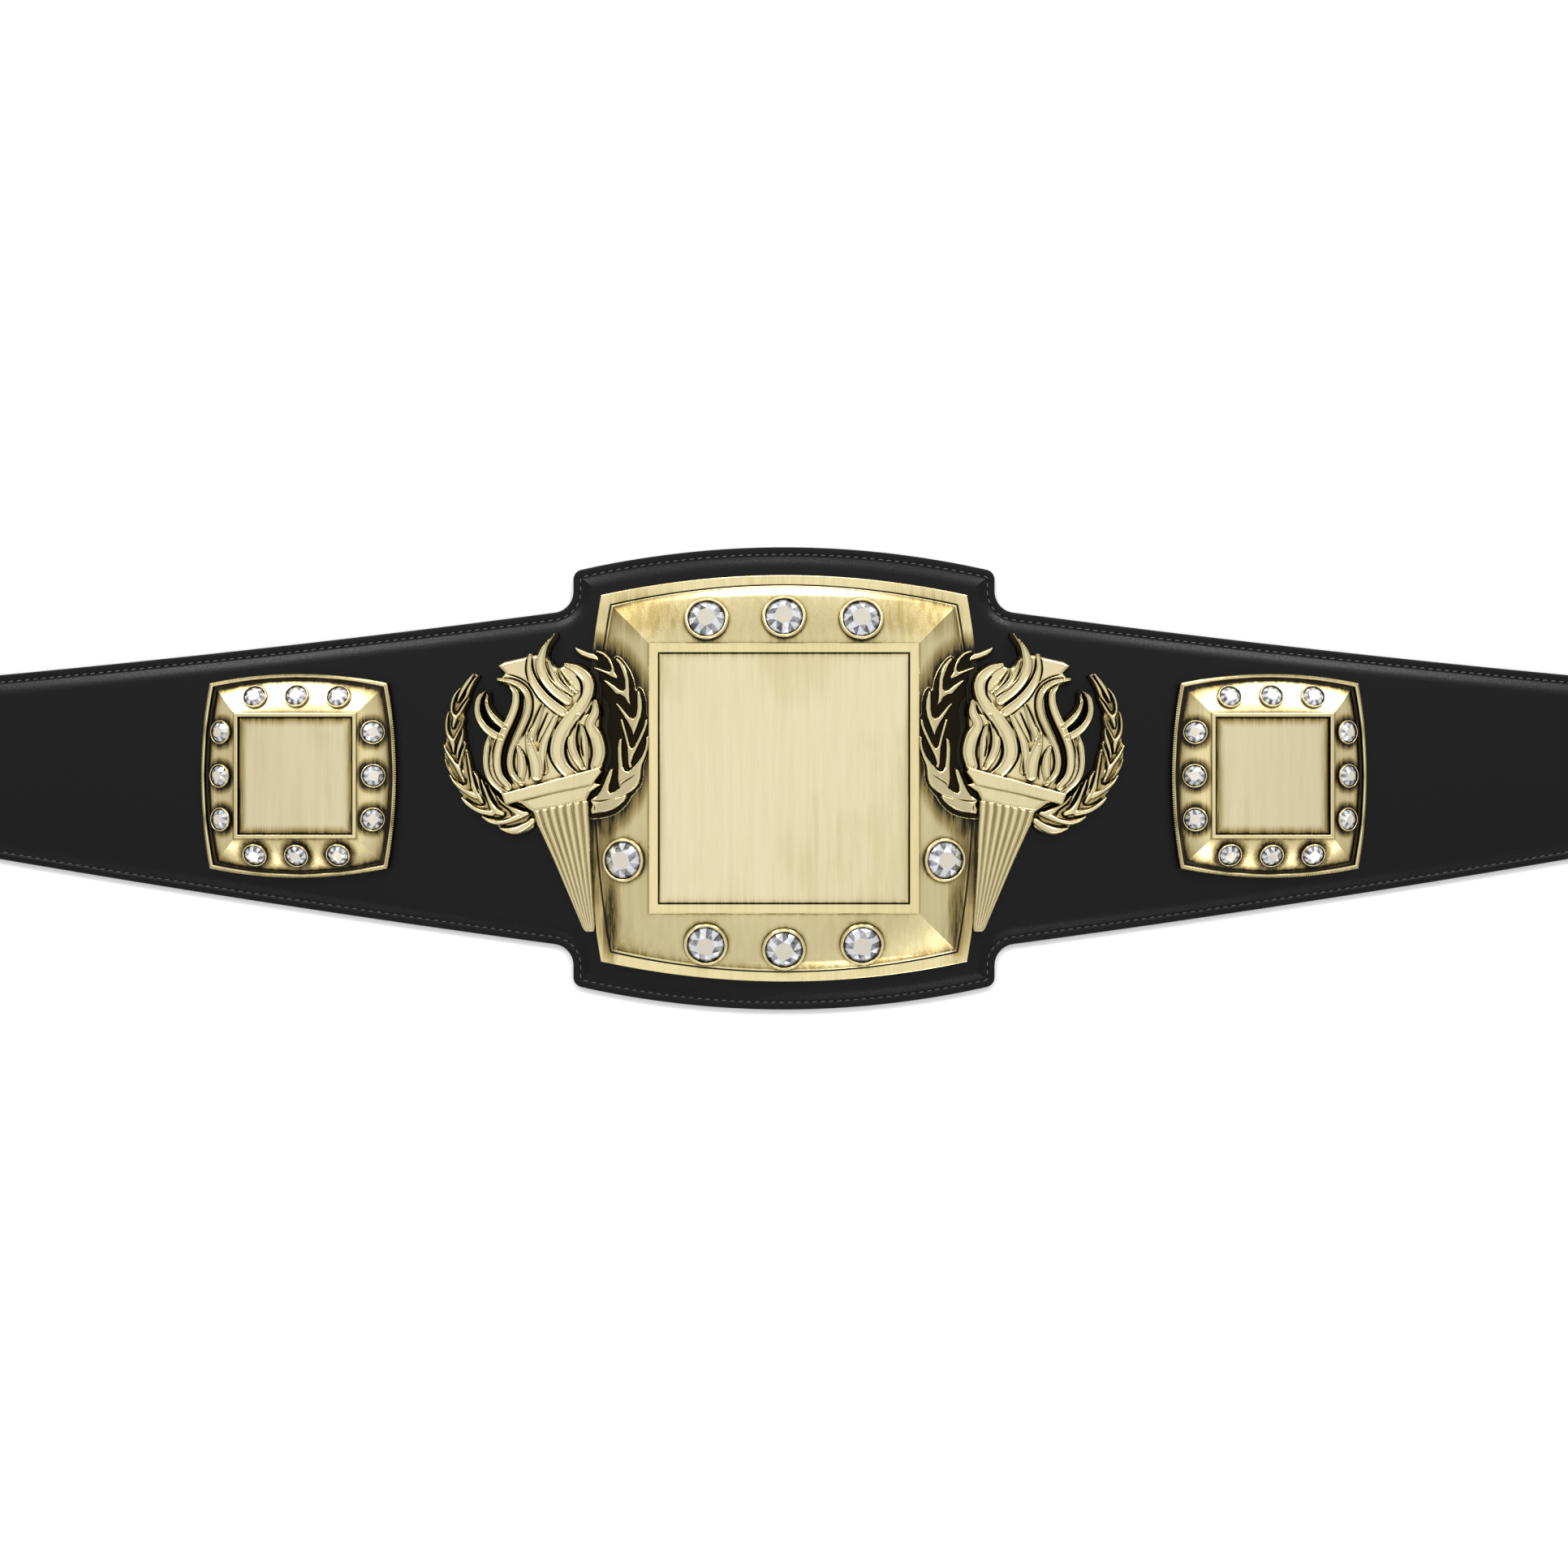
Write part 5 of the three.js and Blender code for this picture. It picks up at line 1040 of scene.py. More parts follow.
@dataclass
class Plate:
    """A plate with bulged sides, mitred bevels and a raised square. Sizes in millimetres."""

    width: float
    height: float
    width_bulge: float
    height_bulge: float
    bevel_inset: float
    bevel_foot: float
    bevel_top: float
    crown: float
    inner_width: float
    inner_height: float
    rim: tuple[tuple[float, float, float], ...]
    square: tuple[tuple[float, float, float], ...]
    lip_patina: float
    corner_patina: float
    frame_patina: float
    strip_share: float = 0.0
    strip_rise: float = 0.0
    stains_and_shade: tuple[tuple[float, float, float, float, float], ...] = ()
    place: tuple[float, float] = (0.0, 0.0)
    side_steps: int = 88
    milling: float = 0.0
    milled_to: float = 1.2
    notch_patina: float = 0.0
    # Patina and painted shade in halos round these stones.
    halos: tuple[Seat, ...] = ()
    halo_radius: float = 0.0
    halo_reach: float = 2.0
    halo_patina_and_shade: float = 0.0
    crease_angle: float = 16.0
    bevel_steps: tuple[float, ...] = (0.0, 0.02, 0.05, 0.09, 0.1, 0.14, 0.2, 0.3, 0.42, 0.55, 0.68, 0.8,
                                      0.9, 0.96, 1.0)
    STRIP_STEP: ClassVar[float] = 0.1
    STRIP_REACH: ClassVar[float] = 0.88
    LEAST_KNEE: ClassVar[float] = 0.02
    LIP_FADE: ClassVar[float] = 0.09
    FRAME_FADE: ClassVar[float] = 0.06
    CORNER_POWER: ClassVar[float] = 5
    CORNER_FADE: ClassVar[float] = 1.5
    HALO_END: ClassVar[float] = 2.5
    STAIN_AND_SHADE_FALL: ClassVar[float] = 1.6
    TOP_SIDE: ClassVar[int] = 1

    def ring(self, inset: float, height: float) -> Ring:
        """The outline moved in by a distance.

        Args:
            inset: The distance, in millimetres.
            height: The ring's height, in millimetres.

        Returns:
            The ring, in millimetres, from the right corner at the bottom.
        """
        half_width, half_height = self.width / 2 - inset, self.height / 2 - inset
        return self.bulged(half_width, half_height, self.width_bulge, self.height_bulge, height)

    def bulged(self, half_width: float, half_height: float, side: float, top: float, height: float) -> Ring:
        """A ring with parabolic sides.

        Args:
            half_width: From the middle to the bulge of a side.
            half_height: From the middle to the bulge of the top.
            side: The bulge of the sides.
            top: The bulge of the top and bottom.
            height: The ring's height.

        Returns:
            The ring, in millimetres.
        """
        ring = []
        for turn in range(4):
            for i in range(self.side_steps):
                t = 2 * i / self.side_steps - 1
                if turn % 2 == 0:
                    x, y = half_width - side * t * t, t * (half_height - top)
                else:
                    x, y = -t * (half_width - side), half_height - top * t * t
                sign = 1 if turn < 2 else -1
                ring.append(Vector((sign * x, sign * y, height)))
        return ring

    def bevel_ring(self, share: float) -> tuple[Ring, list[float]]:
        """A ring on the bevel.

        Args:
            share: 0 at the bevel's foot, 1 at its top.

        Returns:
            The ring in millimetres and the patina of each of its corners.
        """
        foot = self.ring(self.bevel_inset, self.bevel_foot)
        top = self.bulged(self.inner_width / 2, self.inner_height / 2, 0, 0, self.bevel_top)
        ring, patina_and_shade = [], []
        for i, (low, high) in enumerate(zip(foot, top)):
            side, step = divmod(i, self.side_steps)
            t = abs(2 * step / self.side_steps - 1)
            bow = max(0.0, 1 - (t / self.STRIP_REACH) ** 2)
            knee = max(self.strip_share * bow, self.LEAST_KNEE)
            if share < self.STRIP_STEP:
                here = share / self.STRIP_STEP * knee
            else:
                here = knee + (share - self.STRIP_STEP) / (1 - self.STRIP_STEP) * (1 - knee)
            rise = self.strip_rise * bow * min(here / knee, (1 - here) / (1 - knee))
            point = low.lerp(high, here)
            point.z += rise + (self.crown - self.strip_rise / 2) * 4 * here * (1 - here)
            ring.append(point)
            corner = self.corner_patina * t ** self.CORNER_POWER * (1 - here) ** self.CORNER_FADE
            lip = self.lip_patina * math.exp(-here / self.LIP_FADE)
            if self.strip_share and side == self.TOP_SIDE:
                lip *= 1 - bow
            frame_side = self.frame_patina * math.exp(-(1 - here) / self.FRAME_FADE)
            patina_and_shade.append(min(1.0, corner + lip + frame_side))
        return ring, patina_and_shade

    def stained_and_shaded(self, ring: Ring, patina_and_shade: float | Sequence[float]) -> list[float]:
        """The patina of a ring with the stains, the painted shade beside the casting and the patina and
        painted shade round the bezels added.

        Args:
            ring: The ring, in millimetres.
            patina_and_shade: The patina without the stains and painted shade.

        Returns:
            The patina and painted shade of each corner.
        """
        values = list(patina_and_shade) if isinstance(patina_and_shade, (list, tuple)) else [patina_and_shade] * len(ring)
        centres = [self.seat(*halo).translation.xy / MM - Vector(self.place) for halo in self.halos]
        for i, point in enumerate(ring):
            for centre in centres:
                beyond = ((point.xy - centre).length - self.halo_radius) / self.halo_reach
                if beyond < self.HALO_END:
                    values[i] = max(values[i], self.halo_patina_and_shade * math.exp(-max(beyond, 0.0) ** 2))
            for x, y, reach_x, reach_y, strength in self.stains_and_shade:
                away = math.hypot((abs(point.x) - x) / reach_x, (point.y - y) / reach_y)
                stain_and_shade = strength * min(1.0, max(0.0, self.STAIN_AND_SHADE_FALL * (1 - away)))
                values[i] = max(values[i], stain_and_shade)
        return values

    def milled(self, ring: Ring) -> Ring:
        """The ring with every other corner notched in towards the plate's middle.

        Args:
            ring: The ring, in millimetres.

        Returns:
            The notched ring.
        """
        return [p - Vector((p.x, p.y, 0)).normalized() * (self.milling * (i % 2)) for i, p in enumerate(ring)]

    def seated(self, ring: Ring) -> Ring:
        """The ring in its place on the belt, in metres."""
        return [(p + Vector((*self.place, 0))) * MM for p in ring]

    def seat(self, edge: Edge, along: float, across: float) -> Matrix:
        """Where a stone sits on the bevel.

        Args:
            edge: The edge that the bevel belongs to.
            along: The place along the edge, as a share of the plate's half size.
            across: The place on the slope, 0 at its foot and 1 at its top.

        Returns:
            The place and the turn that lay it on the slope, in metres.
        """
        upright = edge.value[0] != 0
        sign = edge.value[0] + edge.value[1]
        half_length = (self.height if upright else self.width) / 2
        half_reach = (self.width if upright else self.height) / 2
        bulge = self.width_bulge if upright else self.height_bulge
        corner = half_length - (self.height_bulge if upright else self.width_bulge)
        spot = along * half_length
        foot = half_reach - self.bevel_inset - bulge * (spot / corner) ** 2
        top = (self.inner_width if upright else self.inner_height) / 2
        reach = foot + (top - foot) * across
        rise = self.bevel_top - self.bevel_foot
        height = self.bevel_foot + rise * across + self.crown * 4 * across * (1 - across)
        lean = math.atan2(rise, foot - top)
        x, y = (sign * reach, spot) if upright else (spot, sign * reach)
        turn = Matrix.Rotation(sign * lean, 4, "Y") if upright else Matrix.Rotation(-sign * lean, 4, "X")
        return Matrix.Translation(Vector((x + self.place[0], y + self.place[1], height)) * MM) @ turn

    def body(self) -> Workpiece:
        """The plate without its bezels.

        Returns:
            The mesh under way.
        """
        work = Workpiece()
        for i, (inset, height, patina_and_shade) in enumerate(self.rim):
            ring = self.ring(inset, height)
            values = self.stained_and_shaded(ring, patina_and_shade)
            if self.milling and inset < self.milled_to:
                ring = self.milled(ring)
                values = [v + self.notch_patina * (k % 2) for k, v in enumerate(values)]
            if i == 0:
                work.open_ring(self.seated(ring), patina_and_shade)
            else:
                work.step(self.seated(ring), values)
        for share in self.bevel_steps:
            ring, patina_and_shade = self.bevel_ring(share)
            work.step(self.seated(ring), self.stained_and_shaded(ring, patina_and_shade))
        for inset, height, patina_and_shade in self.square:
            half_width, half_height = self.inner_width / 2 - inset, self.inner_height / 2 - inset
            work.step(self.seated(self.bulged(half_width, half_height, 0, 0, height)), patina_and_shade)
        work.close()
        work.crease(self.crease_angle)
        return work


@dataclass
class StoneSet:
    """Round stones in bezels on the bevels of one plate. Sizes in millimetres."""

    diameter: float
    bezel_radius: float
    bezel_height: float
    seats: tuple[Seat, ...]
    table_share: float = 0.52
    crown_share: float = 0.34
    break_share: float = 0.8
    break_rise: float = 0.52
    girdle: float = 0.8
    gap: float = 0.3
    sunk: float = 2.4
    steps: int = 40
    corners: int = 16
    turn_each: float = 37.0
    foot_share: float = 0.15
    foot_patina_and_shade: float = 0.75
    # Painted reflections of the facets, from dark to light, dealt out round the stone by turns.
    facet_reflections: tuple[float, ...] = (1.0, 0.3, 0.85, 0.06, 1.0, 0.5, 0.9, 0.15, 1.0, 0.25)
    table_tone: float = 2.0
    # From the outside of the bezel's wall to its inside, as shares of the wall and of the height.
    LIP: ClassVar[Outline] = ((0.0, 0.35), (0.06, 0.62), (0.2, 0.84), (0.42, 0.97), (0.6, 1.0), (0.8, 0.93),
                              (0.94, 0.76), (1.0, 0.5))
    LEVEL: ClassVar[float] = 0.99
    FACET_RINGS: ClassVar[int] = 5
    REFLECTION_STRIDES: ClassVar[tuple[int, int]] = (3, 4)

    def bezel_profile(self) -> Profile:
        """Radius and height of the bezel's corners.

        Returns:
            The corners in metres, from the axis to the axis.
        """
        r, h, inner = self.bezel_radius, self.bezel_height, self.diameter / 2 + self.gap
        wall = [(r - (r - inner) * share, h * rise) for share, rise in self.LIP]
        corners = [(0, -self.sunk), (r, -self.sunk), *wall, (inner, 0.0), (0, 0.0)]
        return [(a * MM, b * MM) for a, b in corners]

    def set_bezels(self, work: Workpiece, plate: Plate) -> None:
        """Adds the bezels to the plate's mesh.

        Args:
            work: The plate's mesh under way.
            plate: The plate.
        """
        # Patina and painted shade at the foot of each bezel, where it meets the bevel.
        low = self.foot_share * self.bezel_height * MM
        for seat in self.seats:
            place = plate.seat(*seat)
            inverse = place.inverted()
            for vert in work.turn(self.bezel_profile(), self.steps, place):
                vert[work.patina_and_shade] = self.foot_patina_and_shade if (inverse @ vert.co).z < low else 0.0

    def cut(self) -> Workpiece:
        """Cuts one stone, standing on the height 0.

        Returns:
            The mesh under way.
        """
        work = Workpiece()
        # A face layer for the painted reflection of each facet.
        tone = work.bm.faces.layers.float.new("facet_reflection")
        r = self.diameter / 2
        crown = r * self.crown_share
        table_corner = (r * self.table_share, self.girdle + crown)
        break_corner = (r * self.break_share, self.girdle + crown * self.break_rise)
        for i in range(self.corners):
            turn = math.tau * i / self.corners
            for radius, z in ((r, 0.0), (r, self.girdle), break_corner if i % 2 else table_corner):
                work.bm.verts.new((radius * math.cos(turn) * MM, radius * math.sin(turn) * MM, z * MM))
        bmesh.ops.convex_hull(work.bm, input=work.bm.verts[:])
        bmesh.ops.dissolve_limit(work.bm, angle_limit=math.radians(1), verts=work.bm.verts[:],
                                 edges=work.bm.edges[:])
        bmesh.ops.recalc_face_normals(work.bm, faces=work.bm.faces)
        # Each crown facet gets a painted reflection by its sector and ring; the table gets its own tone.
        around_step, outward_step = self.REFLECTION_STRIDES
        for face in work.bm.faces:
            centre = face.calc_center_median()
            if face.normal.z > self.LEVEL:
                face[tone] = self.table_tone
                continue
            sector = int(math.atan2(centre.y, centre.x) / math.tau % 1.0 * self.corners)
            ring = round(centre.xy.length / (r * MM) * self.FACET_RINGS)
            face[tone] = self.facet_reflections[(sector * around_step + ring * outward_step) % len(self.facet_reflections)]
        return work

    def build(self, name: str, plate: Plate, crystal: bpy.types.Material, nodes: Sequence[str]) -> None:
        """Builds the stones of one plate as one piece.

        Args:
            name: The piece's name.
            plate: The plate that carries them.
            crystal: Their finish.
            nodes: The solids that they stand for.
        """
        shape = self.cut().mesh("one_stone")
        work = Workpiece()
        work.bm.faces.layers.float.new("facet_reflection")
        for i, seat in enumerate(self.seats):
            before = set(work.bm.verts)
            work.bm.from_mesh(shape)
            verts = [v for v in work.bm.verts if v not in before]
            spin = Matrix.Rotation(math.radians(self.turn_each * i), 4, "Z")
            lift = Matrix.Translation((0, 0, self.gap * MM))
            bmesh.ops.transform(work.bm, matrix=plate.seat(*seat) @ lift @ spin, verts=verts)
        work.piece("Stones", name, crystal, "clear_stone", nodes, smooth=False)
        bpy.data.meshes.remove(shape)


@dataclass
class Relief:
    """The height of a cast relief over a fine grid. Millimetres."""

    low_x: float
    high_x: float
    low_y: float
    high_y: float
    pitch: float
    wall_slope: float = 4.5
    band_margin: float = 3.5
    plateau_margin: float = 4.0
    BARE_EDGE: ClassVar[float] = 0.5
    BOTTOM: ClassVar[float] = -5.0
    LOWEST_SURFACE: ClassVar[float] = 5.5
    THINNEST: ClassVar[float] = 0.3
    BODY_SHARE: ClassVar[float] = 0.55
    RIM_SHARE: ClassVar[float] = 0.45
    RIM_PLACE: ClassVar[float] = 0.72
    RIM_WIDTH: ClassVar[float] = 0.2
    RIM_STAIN: ClassVar[float] = 0.5
    # A groove's sizes: half widths in millimetres, and the least shares of its depth and of its stain.
    GROOVE_FULL_DEPTH: ClassVar[float] = 0.9
    GROOVE_FULL_STAIN: ClassVar[float] = 0.5
    GROOVE_NARROWEST: ClassVar[float] = 0.36
    GROOVE_FLANK: ClassVar[float] = 0.7
    GROOVE_LEAST_DEPTH: ClassVar[float] = 0.25
    GROOVE_LEAST_STAIN: ClassVar[float] = 0.3
    GROOVE_TAPER: ClassVar[float] = 14.0
    GROOVE_BLUNT_END: ClassVar[float] = 0.15
    # The radius of the surroundings, the depth where the patina starts, and how much deeper it is full.
    CAVITIES: ClassVar[Stroke] = ((0.8, 0.1, 0.85), (2.2, 0.3, 2.0))
    CAVITY_STAIN: ClassVar[float] = 0.8
    FAR_AWAY: ClassVar[float] = 1e9
    TINY: ClassVar[float] = 1e-9
    x: np.ndarray = field(init=False)
    y: np.ndarray = field(init=False)
    height: np.ndarray = field(init=False)
    # Patina, stains and painted shade at each point of the grid.
    stain_and_shade: np.ndarray = field(init=False)

    def __post_init__(self) -> None:
        """Lays out the grid."""
        across = np.arange(round((self.high_x - self.low_x) / self.pitch) + 1) * self.pitch + self.low_x
        up = np.arange(round((self.high_y - self.low_y) / self.pitch) + 1) * self.pitch + self.low_y
        self.x, self.y = np.meshgrid(across, up)
        self.height = np.full(self.x.shape, self.BOTTOM)
        self.stain_and_shade = np.zeros(self.x.shape)

    def lay(self, window: Window, shape: np.ndarray, stain_and_shade: object = 0.0) -> None:
        """Lays a shape over what is there already, where it is higher.

        Args:
            window: The part of the grid.
            shape: The shape's height there.
            stain_and_shade: The patina and painted shade on the shape.
        """
        higher = shape > self.height[window]
        self.height[window] = np.where(higher, shape, self.height[window])
        self.stain_and_shade[window] = np.where(higher, stain_and_shade, self.stain_and_shade[window])

    def window(self, points: np.ndarray, margin: float) -> Window:
        """The part of the grid round some points.

        Args:
            points: X and Y in the first two columns.
            margin: How far the window reaches past them.

        Returns:
            The slices of rows and columns.
        """
        def span(values: np.ndarray, low: float, count: int) -> slice:
            """The stretch of the grid that covers some values.

            Args:
                values: The points' places along one axis.
                low: Where the grid starts.
                count: How many rows or columns it has.

            Returns:
                The slice.
            """
            first = int((values.min() - margin - low) / self.pitch)
            last = int((values.max() + margin - low) / self.pitch) + 2
            return slice(max(first, 0), min(last, count))

        rows, columns = self.x.shape
        return (span(points[:, 1], self.low_y, rows), span(points[:, 0], self.low_x, columns))

    @staticmethod
    def smooth(stroke: Stroke, steps: int = 6) -> np.ndarray:
        """Rows along a smooth line through a stroke's points.

        Args:
            stroke: The points, each with its width.
            steps: The number of rows for each of its legs.

        Returns:
            The rows, with the share of the stroke's length in the last column.
        """
        points = np.array(stroke, float)
        ends = np.vstack([2 * points[0] - points[1], points, 2 * points[-1] - points[-2]])
        rows = []
        for i in range(1, len(ends) - 2):
            a, b, c, d = ends[i - 1:i + 3]
            for s in range(steps):
                t = s / steps
                rows.append(0.5 * (2 * b + (c - a) * t + (2 * a - 5 * b + 4 * c - d) * t ** 2
                                   + (3 * b - a - 3 * c + d) * t ** 3))
        rows.append(ends[-2])
        line = np.array(rows)
        line[:, 2] = np.maximum(line[:, 2], Relief.THINNEST)
        run = np.concatenate([[0], np.cumsum(np.hypot(*np.diff(line[:, :2], axis=0).T))])
        return np.column_stack([line, run / run[-1]])

    def to_leg(self, window: Window, start: np.ndarray, end: np.ndarray) -> tuple[np.ndarray, np.ndarray]:
        """Where the grid's points are nearest to a straight leg, and how near.

        Args:
            window: The part of the grid.
            start: The leg's start, X and Y first.
            end: Its end.

        Returns:
            The share of the leg's length and the distance.
        """
        x, y = self.x[window] - start[0], self.y[window] - start[1]
        leg = end[:2] - start[:2]
        t = np.clip((x * leg[0] + y * leg[1]) / max(leg @ leg, self.TINY), 0, 1)
        return t, np.hypot(x - t * leg[0], y - t * leg[1])

    def near(self, line: np.ndarray, margin: float) -> tuple[Window, np.ndarray, np.ndarray, np.ndarray]:
        """Distances from a line.

        Args:
            line: The rows of the line.
            margin: How far round it the distances are needed.

        Returns:
            The window, the distance, the half width there and the share of the length there.
        """
        window = self.window(line, margin)
        best = np.full(self.x[window].shape, self.FAR_AWAY)
        half, along = np.zeros(best.shape), np.zeros(best.shape)
        for a, b in zip(line, line[1:]):
            t, distance = self.to_leg(window, a, b)
            closer = distance < best
            best = np.where(closer, distance, best)
            half = np.where(closer, (a[2] + t * (b[2] - a[2])) / 2, half)
            along = np.where(closer, a[3] + t * (b[3] - a[3]), along)
        return window, best, half, along

    def raise_band(self, stroke: Stroke, foot: float, crest: float, section: Section,
                   ground: Ground | None = None, spread: float = 1.0) -> None:
        """Raises a band along a stroke, over what is there already.

        Args:
            stroke: The band's middle line.
            foot: The height of its edges.
            crest: The height of its middle.
            section: The form across it.
            ground: What the heights count from, by distance out, or None for the height 0.
            spread: A factor on the stroke's width.
        """
        line = self.smooth(stroke)
        line[:, 2] *= spread
        window, distance, half, _ = self.near(line, line[:, 2].max() / 2 + self.band_margin)
        u = np.clip(distance / half, 0, 1)
        stain_and_shade = 0.0
        if section is Section.RIMMED:
            rim = np.exp(-((u - self.RIM_PLACE) / self.RIM_WIDTH) ** 2)
            shape = foot + (crest - foot) * np.sqrt(1 - u ** 4) * (self.BODY_SHARE + self.RIM_SHARE * rim)
            stain_and_shade = self.RIM_STAIN * np.clip((u - self.RIM_PLACE) / (1 - self.RIM_PLACE), 0, 1) ** 2
        else:
            shape = foot + (crest - foot) * np.sqrt(1 - u ** 2)
        shape = shape - self.wall_slope * np.maximum(distance - half, 0)
        if ground is not None:
            shape = shape + ground(self.x[window])
        self.lay(window, shape, stain_and_shade)

    def cut_groove(self, stroke: Stroke, depth: float, stain_and_shade: float) -> None:
        """Cuts a groove along a stroke.

        Args:
            stroke: The groove's middle line.
            depth: Its depth where it is widest.
            stain_and_shade: The patina along its middle.
        """
        line = self.smooth(stroke)
        window, distance, half, along = self.near(line, line[:, 2].max() + 1)
        flank = np.maximum(half * self.GROOVE_FLANK, self.GROOVE_NARROWEST)
        ends = np.clip(np.minimum(along, 1 - along) * self.GROOVE_TAPER, self.GROOVE_BLUNT_END, 1)
        cut = ends * np.exp(-(distance / flank) ** 2)
        deep = np.clip(half / self.GROOVE_FULL_DEPTH, self.GROOVE_LEAST_DEPTH, 1)
        dark = np.clip(half / self.GROOVE_FULL_STAIN, self.GROOVE_LEAST_STAIN, 1)
        self.height[window] -= depth * deep * cut
        self.stain_and_shade[window] = np.maximum(self.stain_and_shade[window], stain_and_shade * dark * cut)


    def depth_inside(self, outline: Outline, margin: float) -> tuple[Window, np.ndarray]:
        """Distance inside an outline, negative outside.

        Args:
            outline: The outline's corners.
            margin: How far outside it the distances are needed.

        Returns:
            The window and the distances.
        """
        points = np.array(outline, float)
        window = self.window(points, margin)
        x, y = self.x[window], self.y[window]
        best = np.full(x.shape, self.FAR_AWAY)
        inside = np.zeros(x.shape, bool)
        for a, b in zip(points, np.roll(points, -1, axis=0)):
            best = np.minimum(best, self.to_leg(window, a, b)[1])
            rise = b[1] - a[1] if abs(b[1] - a[1]) > self.TINY else self.TINY
            crosses = (a[1] > y) != (b[1] > y)
            inside ^= crosses & (x < a[0] + (y - a[1]) * (b[0] - a[0]) / rise)
        return window, np.where(inside, best, -best)

    def raise_plateau(self, outline: Outline, level: float, roll: float, drop: float,
                      ground: Ground | None = None, stain_and_shade: float = 0.0) -> None:
        """Raises a plateau with a rolled edge over what is there already.

        Args:
            outline: The plateau's outline.
            level: Its height away from the edge.
            roll: The width of the rolled edge.
            drop: How far the edge drops.
            ground: What the height counts from, by distance out, or None for the height 0.
            stain_and_shade: The patina and painted shade on it, up to its bare edge.
        """
        window, depth = self.depth_inside(outline, self.plateau_margin)
        u = np.clip(1 - depth / roll, 0, 1)
        shape = level - drop * (1 - np.sqrt(1 - u ** 2)) + self.wall_slope * np.minimum(depth, 0)
        if ground is not None:
            shape = shape + ground(self.x[window])
        self.lay(window, shape, np.where(depth > self.BARE_EDGE, stain_and_shade, 0.0))

    def blurred(self, radius: int) -> np.ndarray:
        """The height, smoothed over a square.

        Args:
            radius: Half the square's side, in cells.

        Returns:
            The smoothed height.
        """
        values = np.maximum(self.height, self.LOWEST_SURFACE)
        side = 2 * radius + 1
        for axis in (0, 1):
            count = values.shape[axis]
            for _ in range(2):
                before, after = values.take([0] * (radius + 1), axis), values.take([-1] * radius, axis)
                total = np.cumsum(np.concatenate([before, values, after], axis), axis)
                values = (total.take(range(side, side + count), axis) - total.take(range(count), axis)) / side
        return values

    def cavity(self) -> np.ndarray:
        """How deep each point lies in its surroundings, from 0 to 1."""
        parts = [
            np.clip((self.blurred(round(radius / self.pitch)) - self.height - start) / more, 0, 1)
            for radius, start, more in self.CAVITIES
        ]
        return np.clip(self.CAVITY_STAIN * sum(parts), 0, 1)


